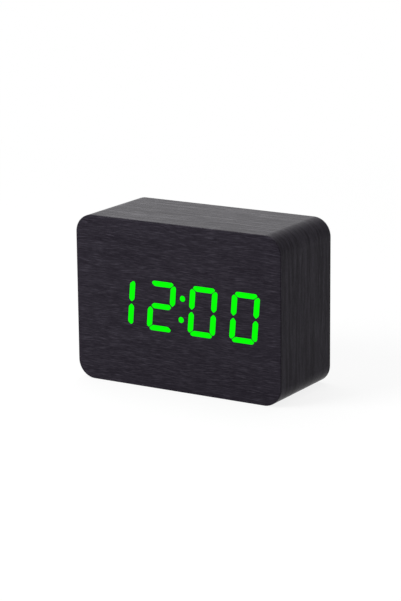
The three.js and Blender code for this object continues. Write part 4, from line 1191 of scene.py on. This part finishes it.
class CLOCK_OT_cells(bpy.types.Operator):
    """Models the three cells and the springs that press on them"""

    bl_idname = "clock.cells"
    bl_label = "Cells and springs"

    # Round shapes are given by their radius
    CONTACT = 3.3  # of the flat end
    SEAL = (3.5, 3.9)  # sunk ring between the contact and the jacket
    SUNK = 0.25  # depth of the rings at both ends
    CRIMP = 4.1  # edge of the jacket where it is turned in
    CRIMP_SUNK = 0.05
    FLAT_EDGE = 0.4
    NUB = 1.9
    NUB_HEIGHT = 1.0
    NUB_FOOT = 2.2
    NUB_EDGE = 0.3
    NUB_RING = 2.6  # inner edge of the sunk ring around the nub
    SHOULDER = 4.3
    SHOULDER_EDGE = 0.5
    BARE = 4.2  # the ends show bare metal within this
    BAND = 11.0  # width of the band at the positive end
    WIRE = 0.25
    FOOT = 3.35
    TIP = 1.95
    TURNS = 3.5
    STEPS_PER_TURN = 36

    def execute(self, context):
        rear = context.scene.clock_rear
        nickel = plated("cell_nickel", (0.6, 0.59, 0.55), 0.25)
        jacket = [lacquered("cell_lacquer", rear.cell), lacquered("cell_band", rear.cell_band), nickel]
        spring = [plated("spring_nickel", (0.62, 0.61, 0.57), 0.22)]
        for number in range(1, 4):
            nub_right = number == 2
            self.cell(f"battery_{number}", number, jacket, nub_right)
            self.spring(f"battery_spring_{number}", number, spring, nub_right)
        return {"FINISHED"}

    def cell(self, node, number, finishes, nub_right):
        low, high = box_mm(node)
        size = high.x - low.x
        radius = (high.z - low.z) / 2
        shoulder = size - self.NUB_HEIGHT
        edge, shoulder_edge, nub_edge = self.FLAT_EDGE, self.SHOULDER_EDGE, self.NUB_EDGE
        bm = bmesh.new()
        turned(bm, [
            (0, 0), (self.CONTACT, 0), (self.SEAL[0], self.SUNK), (self.SEAL[1], self.SUNK),
            (self.CRIMP, self.CRIMP_SUNK),
            *arc(edge, radius - edge, self.CRIMP_SUNK + edge, -90, 0, 4),
            (radius, shoulder - self.BAND),
            *arc(shoulder_edge, radius - shoulder_edge, shoulder - shoulder_edge, 0, 90, 5),
            (self.SHOULDER, shoulder), (self.CRIMP, shoulder - self.SUNK),
            (self.NUB_RING, shoulder - self.SUNK), (self.NUB_FOOT, shoulder),
            *arc(nub_edge, self.NUB - nub_edge, size - nub_edge, 0, 90, 4), (0, size),
        ])
        for face in bm.faces:
            middle = face.calc_center_median()
            if hypot(middle.x, middle.z) < self.BARE:
                face.material_index = 2
            elif middle.y > shoulder - self.BAND:
                face.material_index = 1
        start_x = low.x if nub_right else high.x
        self.lay(bm, start_x, node, nub_right)
        piece(f"cell_{number}", bm, finishes, node)

    def spring(self, node, number, finishes, nub_right):
        low, high = box_mm(node)
        size = high.x - low.x - 2 * self.WIRE
        bm = bmesh.new()
        steps = round(self.STEPS_PER_TURN * self.TURNS)
        place = Matrix.Translation((self.FOOT, 0, 0))
        wire = bmesh.ops.create_circle(bm, segments=12, radius=self.WIRE, matrix=place)["verts"]
        bmesh.ops.spin(
            bm, geom=wire + edges_at(wire), cent=(0, 0, 0), axis=(0, 1, 0), dvec=(0, size / steps, 0),
            angle=2 * pi * self.TURNS, steps=steps,
        )
        bmesh.ops.holes_fill(bm, edges=[edge for edge in bm.edges if edge.is_boundary])
        for vert in bm.verts:
            radius = hypot(vert.co.x, vert.co.z)
            taper = 1 + (self.TIP - self.FOOT) * vert.co.y / size / radius
            vert.co.x *= taper
            vert.co.z *= taper
        start_x = low.x + self.WIRE if nub_right else high.x - self.WIRE
        self.lay(bm, start_x, f"battery_{number}", nub_right)
        piece(f"coil_spring_{number}", bm, finishes, node)

    def lay(self, bm, start_x, cell, nub_right):
        """Turns a shape along X, in line with a cell, and starts it at start_x."""
        middle = middle_mm(cell)
        way = ALONG_X if nub_right else ALONG_X.inverted()
        place = Matrix.Translation((start_x, middle.y, middle.z))
        bmesh.ops.transform(bm, matrix=place @ way, verts=bm.verts)


class CLOCK_OT_inner_parts(bpy.types.Operator):
    """Gives the parts that keep their CAD shape their finishes"""

    bl_idname = "clock.inner_parts"
    bl_label = "Inner parts"

    def execute(self, context):
        finishes = {
            "white_plastic": moulded("white_plastic", (0.62, 0.62, 0.58), 0.45),
            "black_plastic": moulded("black_plastic", (0.009, 0.009, 0.01), 0.5),
            "key_plastic": moulded("plunger_plastic", context.scene.clock_rear.keys, 0.45),
            "lens": moulded("milky_lens", (0.22, 0.5, 0.24), 0.3),
            "board": solder_mask(),
            "epoxy": moulded("epoxy", (0.004, 0.004, 0.0045), 0.18, texture=1.5, depth=0.05),
            "steel": plated("steel", (0.4, 0.41, 0.42), 0.35),
            "nickel": plated("nickel", (0.58, 0.57, 0.53), 0.24),
            "ribbon": striped("ribbon", 1.27, (0.2, 0.2, 0.22), (0.34, 0.34, 0.37), edge=0.8),
            "red_wire": self.insulation("red_insulation", (0.4, 0.009, 0.009)),
            "black_wire": self.insulation("black_insulation", (0.007, 0.007, 0.008)),
        }
        for name, node in frame["nodes"].items():
            if node.hide_render:
                continue
            for place in node.material_slots:
                place.material = finishes[SLOTS[name]]
        return {"FINISHED"}

    def insulation(self, name, base):
        """Soft plastic round a wire."""
        return moulded(name, base, 0.35, texture=0.6, depth=0.02)


class CLOCK_OT_stage(bpy.types.Operator):
    """Sets the floor, the lamps and the camera"""

    bl_idname = "clock.stage"
    bl_label = "Stage"

    IMAGE = (401, 601)  # width and height in pixels
    SENSOR = 36.0  # millimetres along the image's longer side
    FLOOR_RADIUS = 4.0  # metres, as are the numbers below
    FLOOR_GAP = 5e-5  # from the floor to the clock's underside
    SHADOW_REACH = (0.12, 0.6)  # from the middle, over which the floor turns plain white
    # Place and size of each lamp
    LAMPS = {
        "key": ((-0.42, -0.55, 0.5), (0.45, 0.45)),
        "top": ((-0.2, 0.3, 1.3), (1.0, 1.0)),
        "rear": ((-0.78, 1.27, 0.6), (1.5, 1.0)),
    }

    def execute(self, context):
        stage = context.scene.clock_stage
        self.floor(stage)
        self.sky(context.scene, stage)
        for name, (place, size) in self.LAMPS.items():
            self.lamp(f"{name}_lamp", place, size, getattr(stage, f"{name}_power"))
        self.camera(context.scene, stage)
        context.scene.view_settings.view_transform = "Standard"
        return {"FINISHED"}

    def plain_white(self, tree, lit, white, amount):
        """Mixes a plain white into what the camera, a mirror or a glass sees."""
        path = tree.add("LightPath", {}).node.outputs
        seen = path["Is Camera Ray"]
        for ray in ("Is Glossy Ray", "Is Transmission Ray"):
            seen = tree.math("MAXIMUM", seen, path[ray])
        return tree.add("MixShader", {0: tree.math("MULTIPLY", seen, amount), 1: lit, 2: white})

    def floor(self, stage):
        bm = bmesh.new()
        place = Matrix.Translation((0, 0, -self.FLOOR_GAP))
        bmesh.ops.create_circle(bm, cap_ends=True, segments=96, radius=self.FLOOR_RADIUS, matrix=place)
        mesh = bpy.data.meshes.new("floor")
        bm.to_mesh(mesh)
        bm.free()
        paper = bpy.data.materials.new("white_paper")
        tree = NodeTree(paper)
        tree.nodes.remove(tree.nodes["Principled BSDF"])
        lit = tree.add("BsdfDiffuse", {"Color": (*stage.floor, 1)})
        place = tree.add("TexCoord", {}, "Object")
        distance = tree.add("VectorMath", {0: place}, "Value", operation="LENGTH")
        amount = tree.ranged(distance, *self.SHADOW_REACH, stage.whiteness, 1)
        seen = self.plain_white(tree, lit, tree.add("Emission", {}), amount)
        tree.join(tree.nodes["Material Output"].inputs["Surface"], seen)
        mesh.materials.append(paper)
        floor = bpy.data.objects.new("floor", mesh)
        bpy.context.scene.collection.objects.link(floor)

    def sky(self, scene, stage):
        scene.world = bpy.data.worlds.new("studio")
        tree = NodeTree(scene.world)
        tree.nodes.remove(tree.nodes["Background"])
        plain = {"Color": (1, 1, 1, 1)}
        lit = tree.add("Background", {**plain, "Strength": stage.sky})
        seen = self.plain_white(tree, lit, tree.add("Background", plain), 1)
        tree.join(tree.nodes["World Output"].inputs["Surface"], seen)

    def lamp(self, name, place, size, watts):
        light = bpy.data.lights.new(name, "AREA")
        light.shape = "RECTANGLE"
        light.size, light.size_y = size
        light.energy = watts
        lamp = bpy.data.objects.new(name, light)
        lamp.visible_camera = False
        lamp.location = place
        aim = Vector((0, 0, HEIGHT * MM / 2)) - lamp.location
        lamp.rotation_euler = aim.to_track_quat("-Z", "Y").to_euler()
        bpy.context.scene.collection.objects.link(lamp)

    def camera(self, scene, stage):
        turn, rise, roll = stage.azimuth, stage.elevation, stage.roll
        back = Vector((sin(turn) * cos(rise), -cos(turn) * cos(rise), sin(rise)))
        right = Vector((cos(turn), sin(turn), 0))
        up = back.cross(right)
        axes = Matrix((right * cos(roll) + up * sin(roll), up * cos(roll) - right * sin(roll), back))
        width, height = self.IMAGE
        lens = bpy.data.cameras.new("camera")
        lens.sensor_width = self.SENSOR
        lens.lens = self.SENSOR * stage.focal / height
        lens.shift_x = (width / 2 - stage.centre_x) / height
        lens.shift_y = (stage.centre_y - height / 2) / height
        camera = bpy.data.objects.new("camera", lens)
        place = Matrix.Translation(Vector((0, 0, HEIGHT * MM / 2)) + back * stage.distance)
        camera.matrix_world = place @ axes.transposed().to_4x4()
        scene.collection.objects.link(camera)
        scene.camera = camera


OPERATORS = (
    CLOCK_OT_film,
    CLOCK_OT_block,
    CLOCK_OT_digits,
    CLOCK_OT_rear_cover,
    CLOCK_OT_battery_door,
    CLOCK_OT_buttons,
    CLOCK_OT_cover_screws,
    CLOCK_OT_power_socket,
    CLOCK_OT_cells,
    CLOCK_OT_inner_parts,
    CLOCK_OT_stage,
)
SETTINGS = {
    "clock_case": ClockCase,
    "clock_display": ClockDisplay,
    "clock_rear": ClockRear,
    "clock_stage": ClockStage,
}


class CLOCK_PT_pieces(bpy.types.Panel):
    """Lists the settings and the pieces"""

    bl_idname = "CLOCK_PT_pieces"
    bl_label = "Alarm clock"
    bl_space_type = "VIEW_3D"
    bl_region_type = "UI"
    bl_category = "Clock"

    def draw(self, context):
        for place, settings in SETTINGS.items():
            box = self.layout.box()
            box.label(text=settings.__doc__)
            for name in settings.__annotations__:
                box.prop(getattr(context.scene, place), name)
        for made in OPERATORS:
            self.layout.operator(made.bl_idname)


def register():
    """Registers the settings, the operators and the panel."""
    for place, settings in SETTINGS.items():
        bpy.utils.register_class(settings)
        setattr(bpy.types.Scene, place, PointerProperty(type=settings))
    for made in (*OPERATORS, CLOCK_PT_pieces):
        bpy.utils.register_class(made)


def unregister():
    """Takes the settings, the operators and the panel out again."""
    for made in (CLOCK_PT_pieces, *reversed(OPERATORS)):
        bpy.utils.unregister_class(made)
    for place, settings in SETTINGS.items():
        delattr(bpy.types.Scene, place)
        bpy.utils.unregister_class(settings)


def main():
    """Builds the clock and its stage."""
    register()
    for made in OPERATORS:
        getattr(bpy.ops.clock, made.bl_idname.split(".")[1])()


if __name__ == "__main__":
    main()
